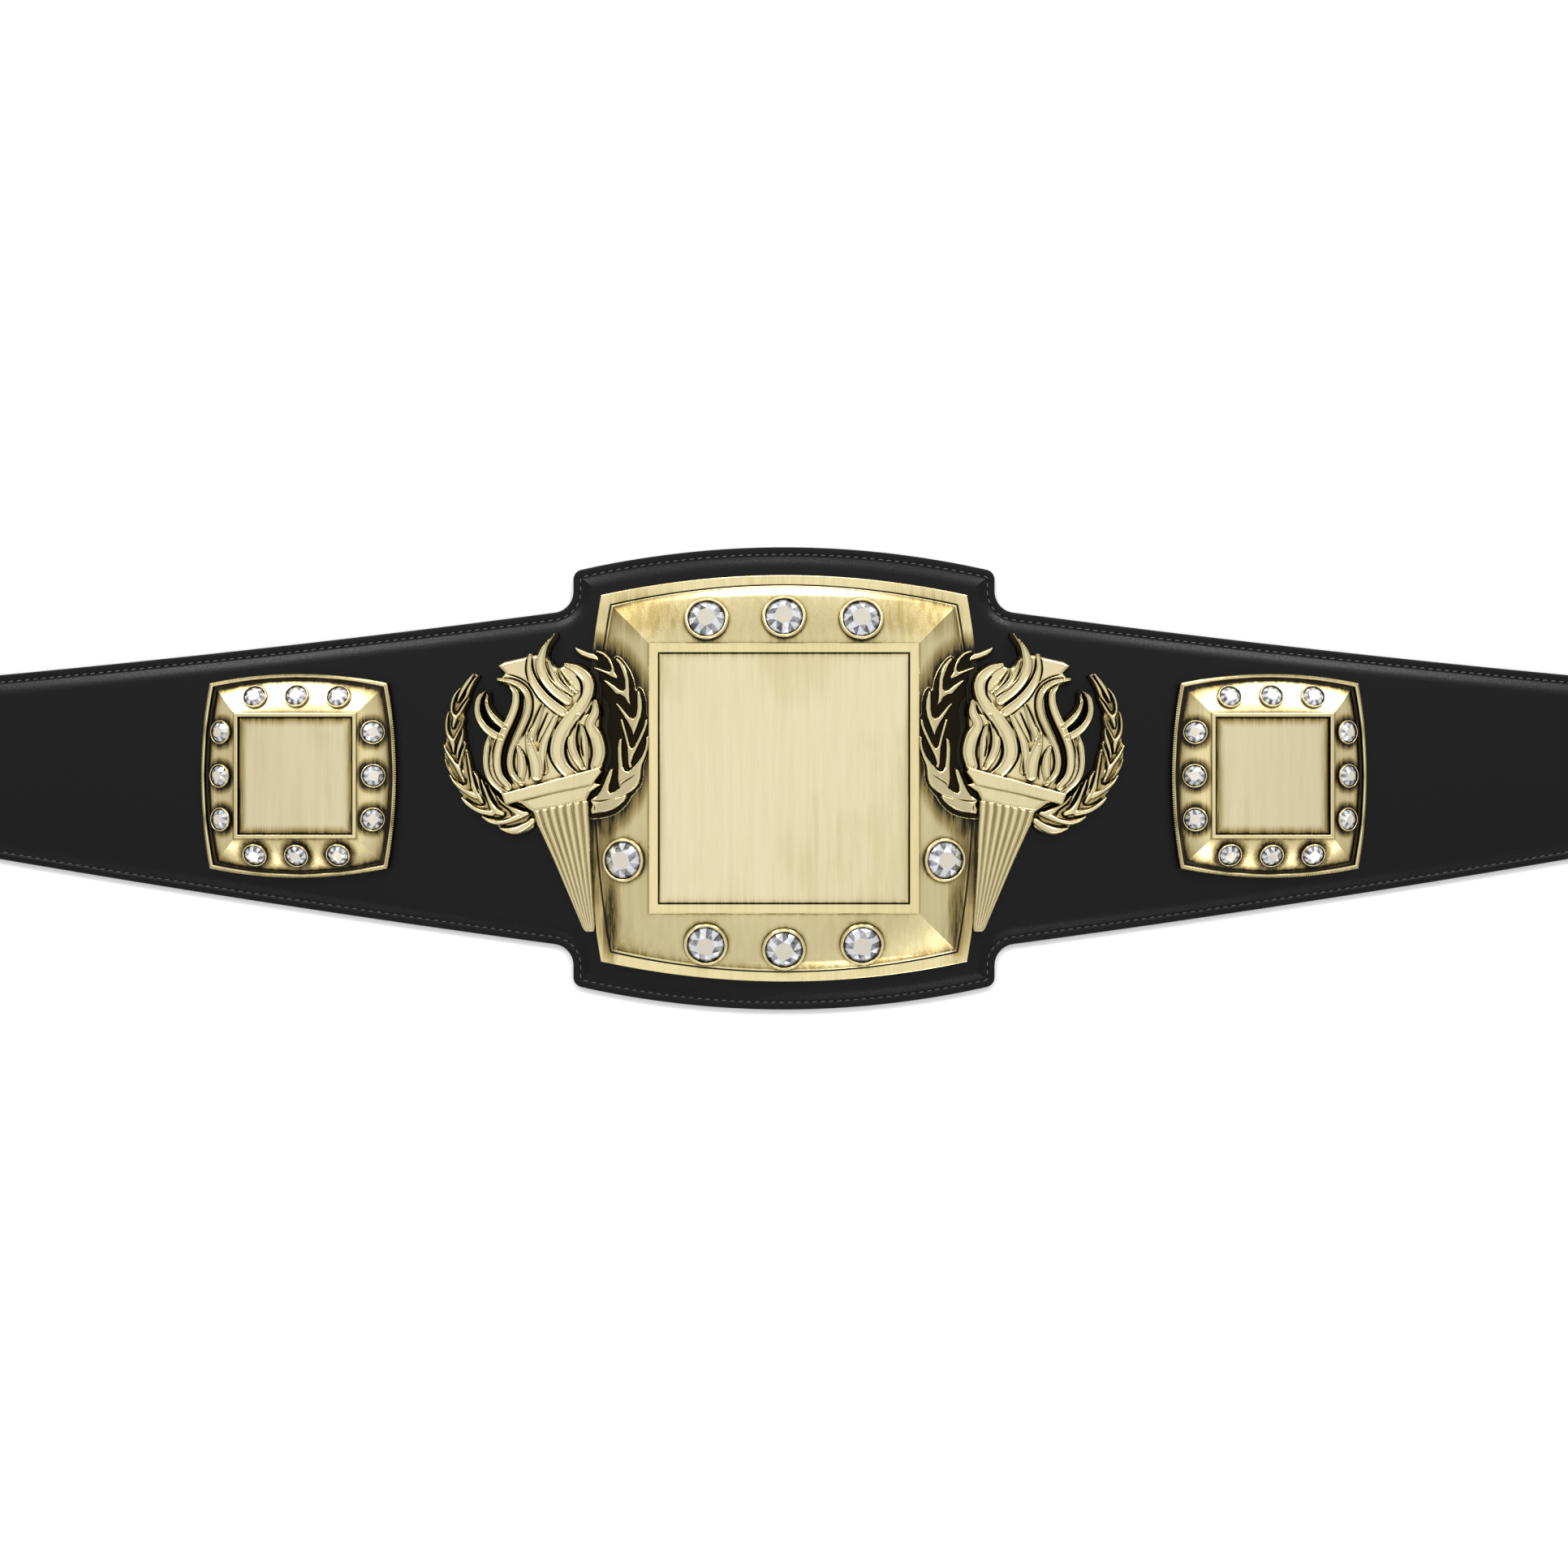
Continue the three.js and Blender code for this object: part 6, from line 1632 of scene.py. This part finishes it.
@dataclass
class TorchWreath:
    """The cast torch between two laurel branches. Sizes in millimetres."""

    # The grid's ends: low and high distance out, low and high height.
    extent: tuple[float, float, float, float] = (76.0, 209.0, -96.0, 94.0)
    pitch: float = 0.37
    leather: float = 6.0
    plate_foot_x: float = 112.4
    plaque_x: float = 80.75
    bevel_foot: float = 10.1
    bevel_top: float = 17.7
    bevel_crown: float = 0.7
    # Heights over the leather, and plate_relief over the centre plate.
    branch_relief: float = 4.6
    ridge_foot: float = 4.2
    leaf_relief: float = 6.6
    plate_relief: float = 3.05
    body_relief: float = 8.0
    band_foot: float = 7.2
    flame_relief: float = 9.7
    tier_relief: float = 9.0
    bowl_relief: float = 10.4
    handle_relief: float = 9.6
    backing_drop: float = 2.6
    ridge_spread: float = 1.1
    # The width and the drop of each rolled edge.
    branch_roll: Span = (1.0, 0.8)
    backing_roll: Span = (0.4, 0.3)
    leaf_roll: Span = (1.3, 1.3)
    body_roll: Span = (2.4, 2.2)
    tier_roll: Span = (3.2, 2.4)
    bowl_roll: Span = (1.2, 0.8)
    handle_roll: Span = (0.9, 0.7)
    # The depth and the stain of the grooves.
    outer_groove: Span = (2.0, 1.1)
    inner_groove: Span = (1.4, 0.9)
    flame_groove: Span = (2.2, 1.3)
    branch_stain: float = 0.3
    # Painted shade on the ledge behind the inner branch and in the gap between it and the flames.
    gap_shade: float = 1.6
    gap_x: Span = (102.0, 128.0)
    gap_low_y: float = 6.0
    flutes: int = 7
    flute_depth: float = 0.35
    flute_growth: float = 0.75
    flute_stain: float = 0.45
    flute_stain_span: Span = (0.46875, 1.09375)
    handle_thinnest: float = 0.5
    handle_round: float = 0.75
    handle_drop: float = 3.4
    handle_tip_share: float = 0.62
    cut_above: float = 0.05
    cut_tolerance: float = 1e-4
    # Painted shade on the casting's low walls: none above the first height, full the second distance lower.
    shade_below: float = 9.0
    shade_fade: float = 2.4

    def ground(self, x: np.ndarray) -> np.ndarray:
        """Height of a leaf's rib over the leather, or over the plate where that is higher.

        Args:
            x: Distances from the belt's middle.

        Returns:
            The heights.
        """
        share = np.clip((self.plate_foot_x - x) / (self.plate_foot_x - self.plaque_x), 0, 1)
        surface = self.bevel_foot + share * (self.bevel_top - self.bevel_foot)
        surface += 4 * self.bevel_crown * share * (1 - share)
        return np.maximum(self.leather + self.leaf_relief, surface + self.plate_relief)

    def sculpt(self) -> Relief:
        """Works out the relief of the casting beside the plate's right edge.

        Returns:
            The relief.
        """
        relief = Relief(*self.extent, self.pitch)
        leather = self.leather
        relief.raise_plateau(OUTER_BRANCH, leather + self.branch_relief, *self.branch_roll,
                             stain_and_shade=self.branch_stain)
        for ridge in OUTER_RIDGES:
            relief.raise_band(ridge, leather + self.ridge_foot, leather + self.leaf_relief, Section.ROUND,
                              spread=self.ridge_spread)
        for groove in OUTER_GROOVES:
            relief.cut_groove(groove, *self.outer_groove)
        relief.raise_plateau(INNER_BACKING, -self.backing_drop, *self.backing_roll, self.ground,
                             self.gap_shade)
        # Paints shade over the gap between the inner branch and the flames.
        gap = (relief.x > self.gap_x[0]) & (relief.x < self.gap_x[1]) & (relief.y > self.gap_low_y)
        relief.stain_and_shade[gap] = self.gap_shade
        for leaf in INNER_LEAVES:
            relief.raise_plateau(leaf, 0.0, *self.leaf_roll, self.ground)
        for groove in INNER_GROOVES:
            relief.cut_groove(groove, *self.inner_groove)
        relief.raise_plateau(FLAME_OUTLINE, leather + self.body_relief, *self.body_roll)
        for band in FLAME_BANDS:
            relief.raise_band(band, leather + self.band_foot, leather + self.flame_relief, Section.RIMMED)
        for groove in FLAME_GROOVES:
            relief.cut_groove(groove, *self.flame_groove)
        self.add_handle(relief)
        relief.raise_plateau(BOWL_TIER, leather + self.tier_relief, *self.tier_roll)
        relief.raise_plateau(BOWL_BAND, leather + self.bowl_relief, *self.bowl_roll)
        return relief

    def add_handle(self, relief: Relief) -> None:
        """Raises the fluted handle.

        Args:
            relief: The relief that it is added to.
        """
        outer, inner = np.array(HANDLE_OUTER_EDGE[::-1]), np.array(HANDLE_INNER_EDGE[::-1])
        outline = HANDLE_OUTER_EDGE + HANDLE_INNER_EDGE[::-1]
        window, depth = relief.depth_inside(outline, relief.plateau_margin)
        x, y = relief.x[window], relief.y[window]
        far, near = np.interp(y, outer[:, 1], outer[:, 0]), np.interp(y, inner[:, 1], inner[:, 0])
        u = np.clip((x - near) / np.maximum(far - near, self.handle_thinnest), 0, 1)
        up = np.clip((y - outer[0, 1]) / (outer[-1, 1] - outer[0, 1]), 0, 1)
        dome = np.sqrt(np.clip(1 - (2 * u - 1) ** 2 * self.handle_round, 0, 1))
        flute = 0.5 + 0.5 * np.cos(math.tau * self.flutes * u)
        tip = self.handle_tip_share
        level = self.leather + self.handle_relief * (tip + (1 - tip) * up)
        carved = (self.flute_depth + self.flute_growth * up) * flute ** 2
        shape = level - self.handle_drop * (1 - dome) - carved
        width, drop = self.handle_roll
        roll = drop * (1 - np.clip(depth / width, 0, 1)) ** 2
        shape = shape - roll + relief.wall_slope * np.minimum(depth, 0)
        low, high = self.flute_stain_span
        dark = np.clip((flute - low) / (high - low), 0, 1)
        relief.lay(window, shape, self.flute_stain * dark * (depth > 0))

    def build(self, gold: AntiqueGold) -> None:
        """Builds the casting on each side of the centre plate.

        Args:
            gold: Their finish.
        """
        relief = self.sculpt()
        material = gold.material()
        for side, sign in (("right", 1), ("left", -1)):
            node = f"torch_wreath_{side}"
            work = self.carve(relief, sign)
            casting = work.piece("Torch and wreath", f"{node}_casting", material, "cast_gold", [node])
            self.paint(casting, relief, sign)

    def carve(self, relief: Relief, sign: int) -> Workpiece:
        """Makes the relief a closed body that stands on the leather.

        Args:
            relief: The relief.
            sign: 1 for the right side, -1 for the left one.

        Returns:
            The mesh under way.
        """
        work = Workpiece()
        rows, columns = relief.x.shape
        cut = self.leather + self.cut_above
        bmesh.ops.create_grid(work.bm, x_segments=columns - 1, y_segments=rows - 1, size=1.0)
        for vert in work.bm.verts:
            i = round((vert.co.y + 1) / 2 * (rows - 1))
            j = round((vert.co.x + 1) / 2 * (columns - 1))
            vert.co = (relief.x[i, j], relief.y[i, j], relief.height[i, j])
        outside = [face for face in work.bm.faces if all(v.co.z < cut for v in face.verts)]
        bmesh.ops.delete(work.bm, geom=outside, context="FACES")
        geometry = work.bm.verts[:] + work.bm.edges[:] + work.bm.faces[:]
        bmesh.ops.bisect_plane(work.bm, geom=geometry, dist=self.cut_tolerance, plane_co=(0, 0, cut),
                               plane_no=(0, 0, 1), clear_inner=True)
        rim = [edge for edge in work.bm.edges if edge.is_boundary]
        bmesh.ops.triangle_fill(work.bm, use_beauty=False, use_dissolve=True, edges=rim, normal=(0, 0, -1))
        bmesh.ops.scale(work.bm, vec=(sign * MM, MM, MM), verts=work.bm.verts)
        bmesh.ops.recalc_face_normals(work.bm, faces=work.bm.faces)
        return work

    def paint(self, casting: bpy.types.Object, relief: Relief, sign: int) -> None:
        """Writes the patina of the recesses, the stains and the painted shade of the gap, the ledge and the
        low walls to the casting.

        Args:
            casting: The piece.
            relief: Its relief.
            sign: 1 for the right side, -1 for the left one.
        """
        mesh = casting.data
        places = np.empty(len(mesh.vertices) * 3)
        mesh.vertices.foreach_get("co", places)
        places = places.reshape(-1, 3) / MM
        last_row, last_column = relief.x.shape[0] - 1, relief.x.shape[1] - 1
        rows = np.rint((places[:, 1] - relief.low_y) / relief.pitch).astype(int)
        columns = np.rint((sign * places[:, 0] - relief.low_x) / relief.pitch).astype(int)
        patina_and_shade = np.maximum(relief.cavity(), relief.stain_and_shade)
        values = patina_and_shade[np.clip(rows, 0, last_row), np.clip(columns, 0, last_column)]
        # Painted shade on the low walls near the plate and the leather.
        values = np.maximum(values, np.clip((self.shade_below - places[:, 2]) / self.shade_fade, 0, 1))
        mesh.attributes["patina_and_shade"].data.foreach_set("value", values.astype(np.float32))


@dataclass
class NamePanel:
    """A flat inlaid panel with softened edges. Sizes in millimetres."""

    edge_round: float = 0.45
    crease_angle: float = 30.0
    # The width of each border round the face, and its share of the patina along the edges.
    borders: Outline = ((0.3, 1.0), (2.0, 0.45), (3.5, 0.15))

    def build(self, node: str, gold: bpy.types.Material, rim_patina: float) -> None:
        """Builds the panel that stands for a flat solid.

        Args:
            node: The solid.
            gold: The panel's finish.
            rim_patina: The patina along its edges.
        """
        low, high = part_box(node)
        work = Workpiece()
        size = high - low
        place = Matrix.Translation((low + high) / 2) @ Matrix.Diagonal((*size, 1))
        bmesh.ops.create_cube(work.bm, size=1.0, matrix=place)
        top = [e for e in work.bm.edges if all(v.co.z > high.z - TOUCHING for v in e.verts)]
        bmesh.ops.bevel(work.bm, geom=top, offset=self.edge_round * MM, offset_type="OFFSET", segments=3,
                        profile=0.5, affect="EDGES", material=-1, clamp_overlap=True)
        face = max(work.bm.faces, key=lambda f: f.calc_center_median().z)
        for vert in work.bm.verts:
            vert[work.patina_and_shade] = 1.0
        for width, share in self.borders:
            bmesh.ops.inset_region(work.bm, faces=[face], thickness=width * MM, use_even_offset=True)
            for vert in face.verts:
                vert[work.patina_and_shade] = rim_patina * share
        for vert in face.verts:
            vert[work.patina_and_shade] = 0.0
        work.crease(self.crease_angle)
        work.piece("Panel", f"{node}_plate", gold, "panel_gold", [node])


@dataclass
class Snap:
    """A press fastener on the strap's end. Sizes in millimetres."""

    radius: float = 7.5
    height: float = 2.4
    neck: float = 3.0
    stud_height: float = 3.4
    steps: int = 40
    crease_angle: float = 50.0
    # Shares of the radius and of the height, and for the stud's neck of its own radius and height.
    CAP: ClassVar[Outline] = ((0, 0), (1, 0), (1, 0.3), (0.97, 0.44), (0.9, 0.56), (0.82, 0.52), (0.76, 0.66),
                              (0.6, 0.86), (0.38, 0.97), (0, 1))
    STUD_FOOT: ClassVar[Outline] = ((0, 0), (1, 0), (1, 0.28), (0.95, 0.42), (0.85, 0.44), (0.6, 0.34),
                                    (0.32, 0.36))
    STUD_NECK: ClassVar[Outline] = ((0.78, 0.6), (1, 0.78), (0.94, 0.92), (0.75, 1), (0, 1))

    def profile(self, is_stud: bool) -> Profile:
        """Radius and height of the fastener's corners.

        Args:
            is_stud: Whether it is a stud rather than a cap.

        Returns:
            The corners in metres, from the axis to the axis.
        """
        corners = [(self.radius * a, self.height * b) for a, b in (self.STUD_FOOT if is_stud else self.CAP)]
        if is_stud:
            corners += [(self.neck * a, self.stud_height * b) for a, b in self.STUD_NECK]
        return [(r * MM, z * MM) for r, z in corners]

    def build(self, gun_metal: GunMetal) -> None:
        """Builds the eight fasteners.

        Args:
            gun_metal: Their finish.
        """
        material = gun_metal.material()
        for kind in ("cap", "stud"):
            for i in range(1, 5):
                node = f"snap_{kind}_{i}"
                low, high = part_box(node)
                middle = (low + high) / 2
                place = Matrix.Translation((middle.x, middle.y, low.z))
                work = Workpiece()
                work.turn(self.profile(kind == "stud"), self.steps, place)
                work.crease(self.crease_angle)
                work.piece("Fastener", f"{node}_pressed", material, "fastener_metal", [node])


@dataclass(frozen=True)
class Softbox:
    """A soft studio light that points at the belt. Sizes in metres."""

    name: str
    place: tuple[float, float, float]
    size: tuple[float, float]
    power: float
    tint: Colour = (1.0, 1.0, 1.0)

    def build(self) -> None:
        """Hangs the light."""
        lamp = bpy.data.lights.new(self.name, "AREA")
        lamp.shape = "RECTANGLE"
        lamp.size, lamp.size_y = self.size
        lamp.energy = self.power
        lamp.color = self.tint
        made = bpy.data.objects.new(self.name, lamp)
        turn = Vector(self.place).to_track_quat("Z", "Y").to_matrix().to_4x4()
        made.matrix_world = Matrix.Translation(self.place) @ turn
        bpy.context.scene.collection.objects.link(made)


@dataclass
class Studio:
    """The floor, the lights and the camera. Sizes in metres, the camera's in millimetres."""

    floor_half_size: float = 6.0
    floor_gap: float = 0.0002
    camera_height: float = 0.8275
    camera_shift_down: float = 0.0034
    lens: float = 31.17
    sensor: float = 36.0
    sky: float = 0.68
    softboxes: tuple[Softbox, ...] = (
        Softbox("key_above", (0.0, 2.42, 1.98), (0.8, 0.7), 11.5),
        Softbox("key_left", (-1.6, 2.3, 1.98), (1.15, 0.9), 36.0),
        Softbox("key_right", (1.6, 2.3, 1.98), (1.15, 0.9), 36.0),
        Softbox("overhead", (0.0, 0.0, 2.6), (2.3, 2.3), 5.2),
        Softbox("fill_below", (0.6, -2.3, 2.0), (0.8, 0.4), 5.0),
        Softbox("fill_left", (-1.55, -2.25, 2.05), (0.9, 0.45), 2.5),
        Softbox("fill_right", (1.55, -2.25, 2.05), (0.9, 0.45), 2.5),
    )

    def build(self) -> None:
        """Sets up the studio."""
        work = Workpiece()
        bmesh.ops.create_grid(work.bm, x_segments=1, y_segments=1, size=self.floor_half_size)
        bmesh.ops.translate(work.bm, vec=(0, 0, -self.floor_gap), verts=work.bm.verts)
        mesh = work.mesh("floor")
        mesh.materials.append(PaleFloor().material())
        floor = bpy.data.objects.new("floor", mesh)
        bpy.context.scene.collection.objects.link(floor)
        for softbox in self.softboxes:
            softbox.build()
        self.light_sky()
        self.aim_camera()

    def light_sky(self) -> None:
        """Fills the studio with even light."""
        world = bpy.data.worlds.new("studio")
        world.use_nodes = True
        world.node_tree.nodes["Background"].inputs["Strength"].default_value = self.sky
        world.node_tree.nodes["Background"].inputs["Color"].default_value = (1, 1, 1, 1)
        bpy.context.scene.world = world
        bpy.context.scene.view_settings.view_transform = "Standard"

    def aim_camera(self) -> None:
        """Looks straight down on the belt, as the photograph does."""
        lens = bpy.data.cameras.new("camera")
        lens.lens = self.lens
        lens.sensor_width = self.sensor
        camera = bpy.data.objects.new("camera", lens)
        camera.location = (0, -self.camera_shift_down, self.camera_height)
        bpy.context.scene.collection.objects.link(camera)
        bpy.context.scene.camera = camera


# Where the stones sit: the edge, the place along it as a share of its half length, the place up its slope.
CENTRE_SEATS: tuple[Seat, ...] = (
    (Edge.TOP, -0.386, 0.55), (Edge.TOP, 0.0, 0.54), (Edge.TOP, 0.386, 0.55), (Edge.RIGHT, -0.4, 0.484),
    (Edge.BOTTOM, 0.39, 0.42), (Edge.BOTTOM, 0.0, 0.37), (Edge.BOTTOM, -0.39, 0.42), (Edge.LEFT, -0.4, 0.484),
)
SIDE_SEATS: tuple[Seat, ...] = tuple(
    (edge, along, across)
    for edge in (Edge.TOP, Edge.RIGHT, Edge.BOTTOM, Edge.LEFT)
    for along, across in ((-0.425, 0.475), (0.0, 0.485), (0.425, 0.475))
)


def centre_plate() -> Plate:
    """The large plate with its sizes: inset, height and patina of each ring of its rim and its square."""
    return Plate(
        width=240.0, height=245.0, width_bulge=9.6, height_bulge=12.0, bevel_inset=7.6, bevel_foot=10.1,
        bevel_top=17.7, crown=0.7, inner_width=161.5, inner_height=161.5,
        rim=(
            (0.3, 6.3, 0.8), (0.0, 6.6, 0.6), (0.0, 8.9, 0.1), (0.12, 9.18, 0.0), (0.4, 9.3, 0.0),
            (5.3, 9.3, 0.0), (5.5, 9.24, 0.1), (5.6, 9.1, 0.9), (5.6, 8.3, 1.0), (6.4, 8.3, 1.0),
            (6.4, 9.7, 0.5), (6.55, 10.0, 0.0), (6.8, 10.1, 0.0), (7.3, 10.1, 0.0),
        ),
        square=(
            (-0.02, 17.9, 0.85), (0.0, 18.5, 0.3), (0.06, 18.95, 0.0), (0.28, 19.2, 0.0), (0.7, 19.3, 0.0),
            (5.35, 19.3, 0.0), (5.62, 19.24, 0.2), (5.8, 19.05, 0.9), (5.8, 17.4, 1.0),
        ),
        lip_patina=0.5, corner_patina=0.3, frame_patina=0.2, strip_share=0.13, strip_rise=0.55,
        # The halos paint patina and painted shade round the bezels.
        halos=CENTRE_SEATS, halo_radius=13.4, halo_reach=1.8, halo_patina_and_shade=0.28,
        # Stains and painted shade: near-black painted shade beside and under the casting, and a darker patch
        # on the top bevel.
        stains_and_shade=(
            (104.0, 26.0, 20.0, 56.0, 1.8), (114.0, 26.0, 42.0, 66.0, 2.6), (116.0, 30.0, 9.0, 50.0, 1.6),
            (108.0, -50.0, 10.0, 66.0, 0.5), (119.0, -20.0, 8.0, 84.0, 1.1), (80.0, 98.0, 42.0, 20.0, 0.37),
            (104.5, -84.0, 7.5, 36.0, 0.75), (107.0, -27.0, 9.0, 17.0, 0.8),
        ),
    )


def side_plate(sign: int) -> Plate:
    """A side plate with its sizes.

    Args:
        sign: 1 for the right side, -1 for the left one.

    Returns:
        The plate.
    """
    low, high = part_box("side_panel_right" if sign > 0 else "side_panel_left")
    middle = (low + high) / 2 / MM
    return Plate(
        width=117.6, height=123.0, width_bulge=5.2, height_bulge=5.6, bevel_inset=4.3, bevel_foot=8.9,
        bevel_top=15.9, crown=0.6, inner_width=73.0, inner_height=75.0,
        rim=(
            (0.3, 6.3, 0.8), (0.0, 6.6, 0.6), (0.0, 9.9, 0.3), (0.1, 10.3, 0.1), (0.5, 10.65, 0.0),
            (1.1, 10.8, 0.0), (1.3, 10.9, 0.0), (1.9, 10.85, 0.0), (2.2, 10.6, 0.1), (2.4, 10.1, 0.6),
            (2.5, 9.4, 1.0), (2.6, 8.8, 1.0), (3.9, 8.7, 1.0),
        ),
        square=(
            (0.0, 16.2, 0.3), (0.12, 16.4, 0.0), (0.4, 16.5, 0.0), (1.8, 16.5, 0.0), (2.08, 16.4, 0.0),
            (2.2, 16.1, 0.5), (2.2, 13.5, 1.0),
        ),
        lip_patina=0.95, corner_patina=0.35, frame_patina=0.75, place=(middle.x, middle.y), side_steps=168,
        milling=0.5, notch_patina=0.7,
        # The halos paint patina and painted shade round the bezels of the side and bottom stones.
        halos=SIDE_SEATS[3:], halo_radius=7.6, halo_reach=3.0, halo_patina_and_shade=0.85,
    )


def build_plates(plate_gold: AntiqueGold, panel_gold: AntiqueGold, crystal: FoiledCrystal) -> None:
    """Builds the three plates with their stones and panels.

    Args:
        plate_gold: The plates' finish.
        panel_gold: The panels' finish.
        crystal: The stones' finish.
    """
    plate_metal, panel_metal, glass = plate_gold.material(), panel_gold.material(), crystal.material()
    centre_set = StoneSet(21.6, bezel_radius=13.2, bezel_height=2.4, seats=CENTRE_SEATS)
    side_set = StoneSet(12.0, bezel_radius=7.3, bezel_height=1.9, seats=SIDE_SEATS, sunk=2.0, steps=28)
    jobs = (
        ("centre", "", centre_plate(), centre_set, 0.25),
        ("side", "_left", side_plate(-1), side_set, 0.7),
        ("side", "_right", side_plate(1), side_set, 0.7),
    )
    for kind, side, plate, stones, rim_patina in jobs:
        work = plate.body()
        stones.set_bezels(work, plate)
        node = f"{kind}_plate{side}"
        work.piece("Plate", f"{node}_metal", plate_metal, "plate_gold", [node])
        nodes = [f"{kind}_stone{side}_{i + 1}" for i in range(len(stones.seats))]
        stones.build(f"{kind}{side}_stones", plate, glass, nodes)
        NamePanel().build(f"{kind}_panel{side}", panel_metal, rim_patina)


def main() -> None:
    """Builds the belt, piece by piece, and its studio."""
    logging.basicConfig(level=logging.INFO, format="%(name)s: %(message)s")
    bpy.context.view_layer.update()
    Studio().build()
    Strap().build(Leather(), Thread())
    plate_gold = AntiqueGold("antique_plate", lacquer=0.25)
    panel_gold = AntiqueGold("brushed_panel", bright=(0.85, 0.745, 0.49), deep=(0.72, 0.615, 0.355),
                             roughness=0.3, recess=0.003, occlusion_shade=0.6, blotches=0.6)
    cast_gold = AntiqueGold("antique_casting", bright=(0.8, 0.7, 0.42), deep=(0.62, 0.53, 0.28),
                            grain=0.35, recess=0.004, smear=0.1)
    build_plates(plate_gold, panel_gold, FoiledCrystal())
    TorchWreath().build(cast_gold)
    Snap().build(GunMetal())


if __name__ == "__main__":
    main()
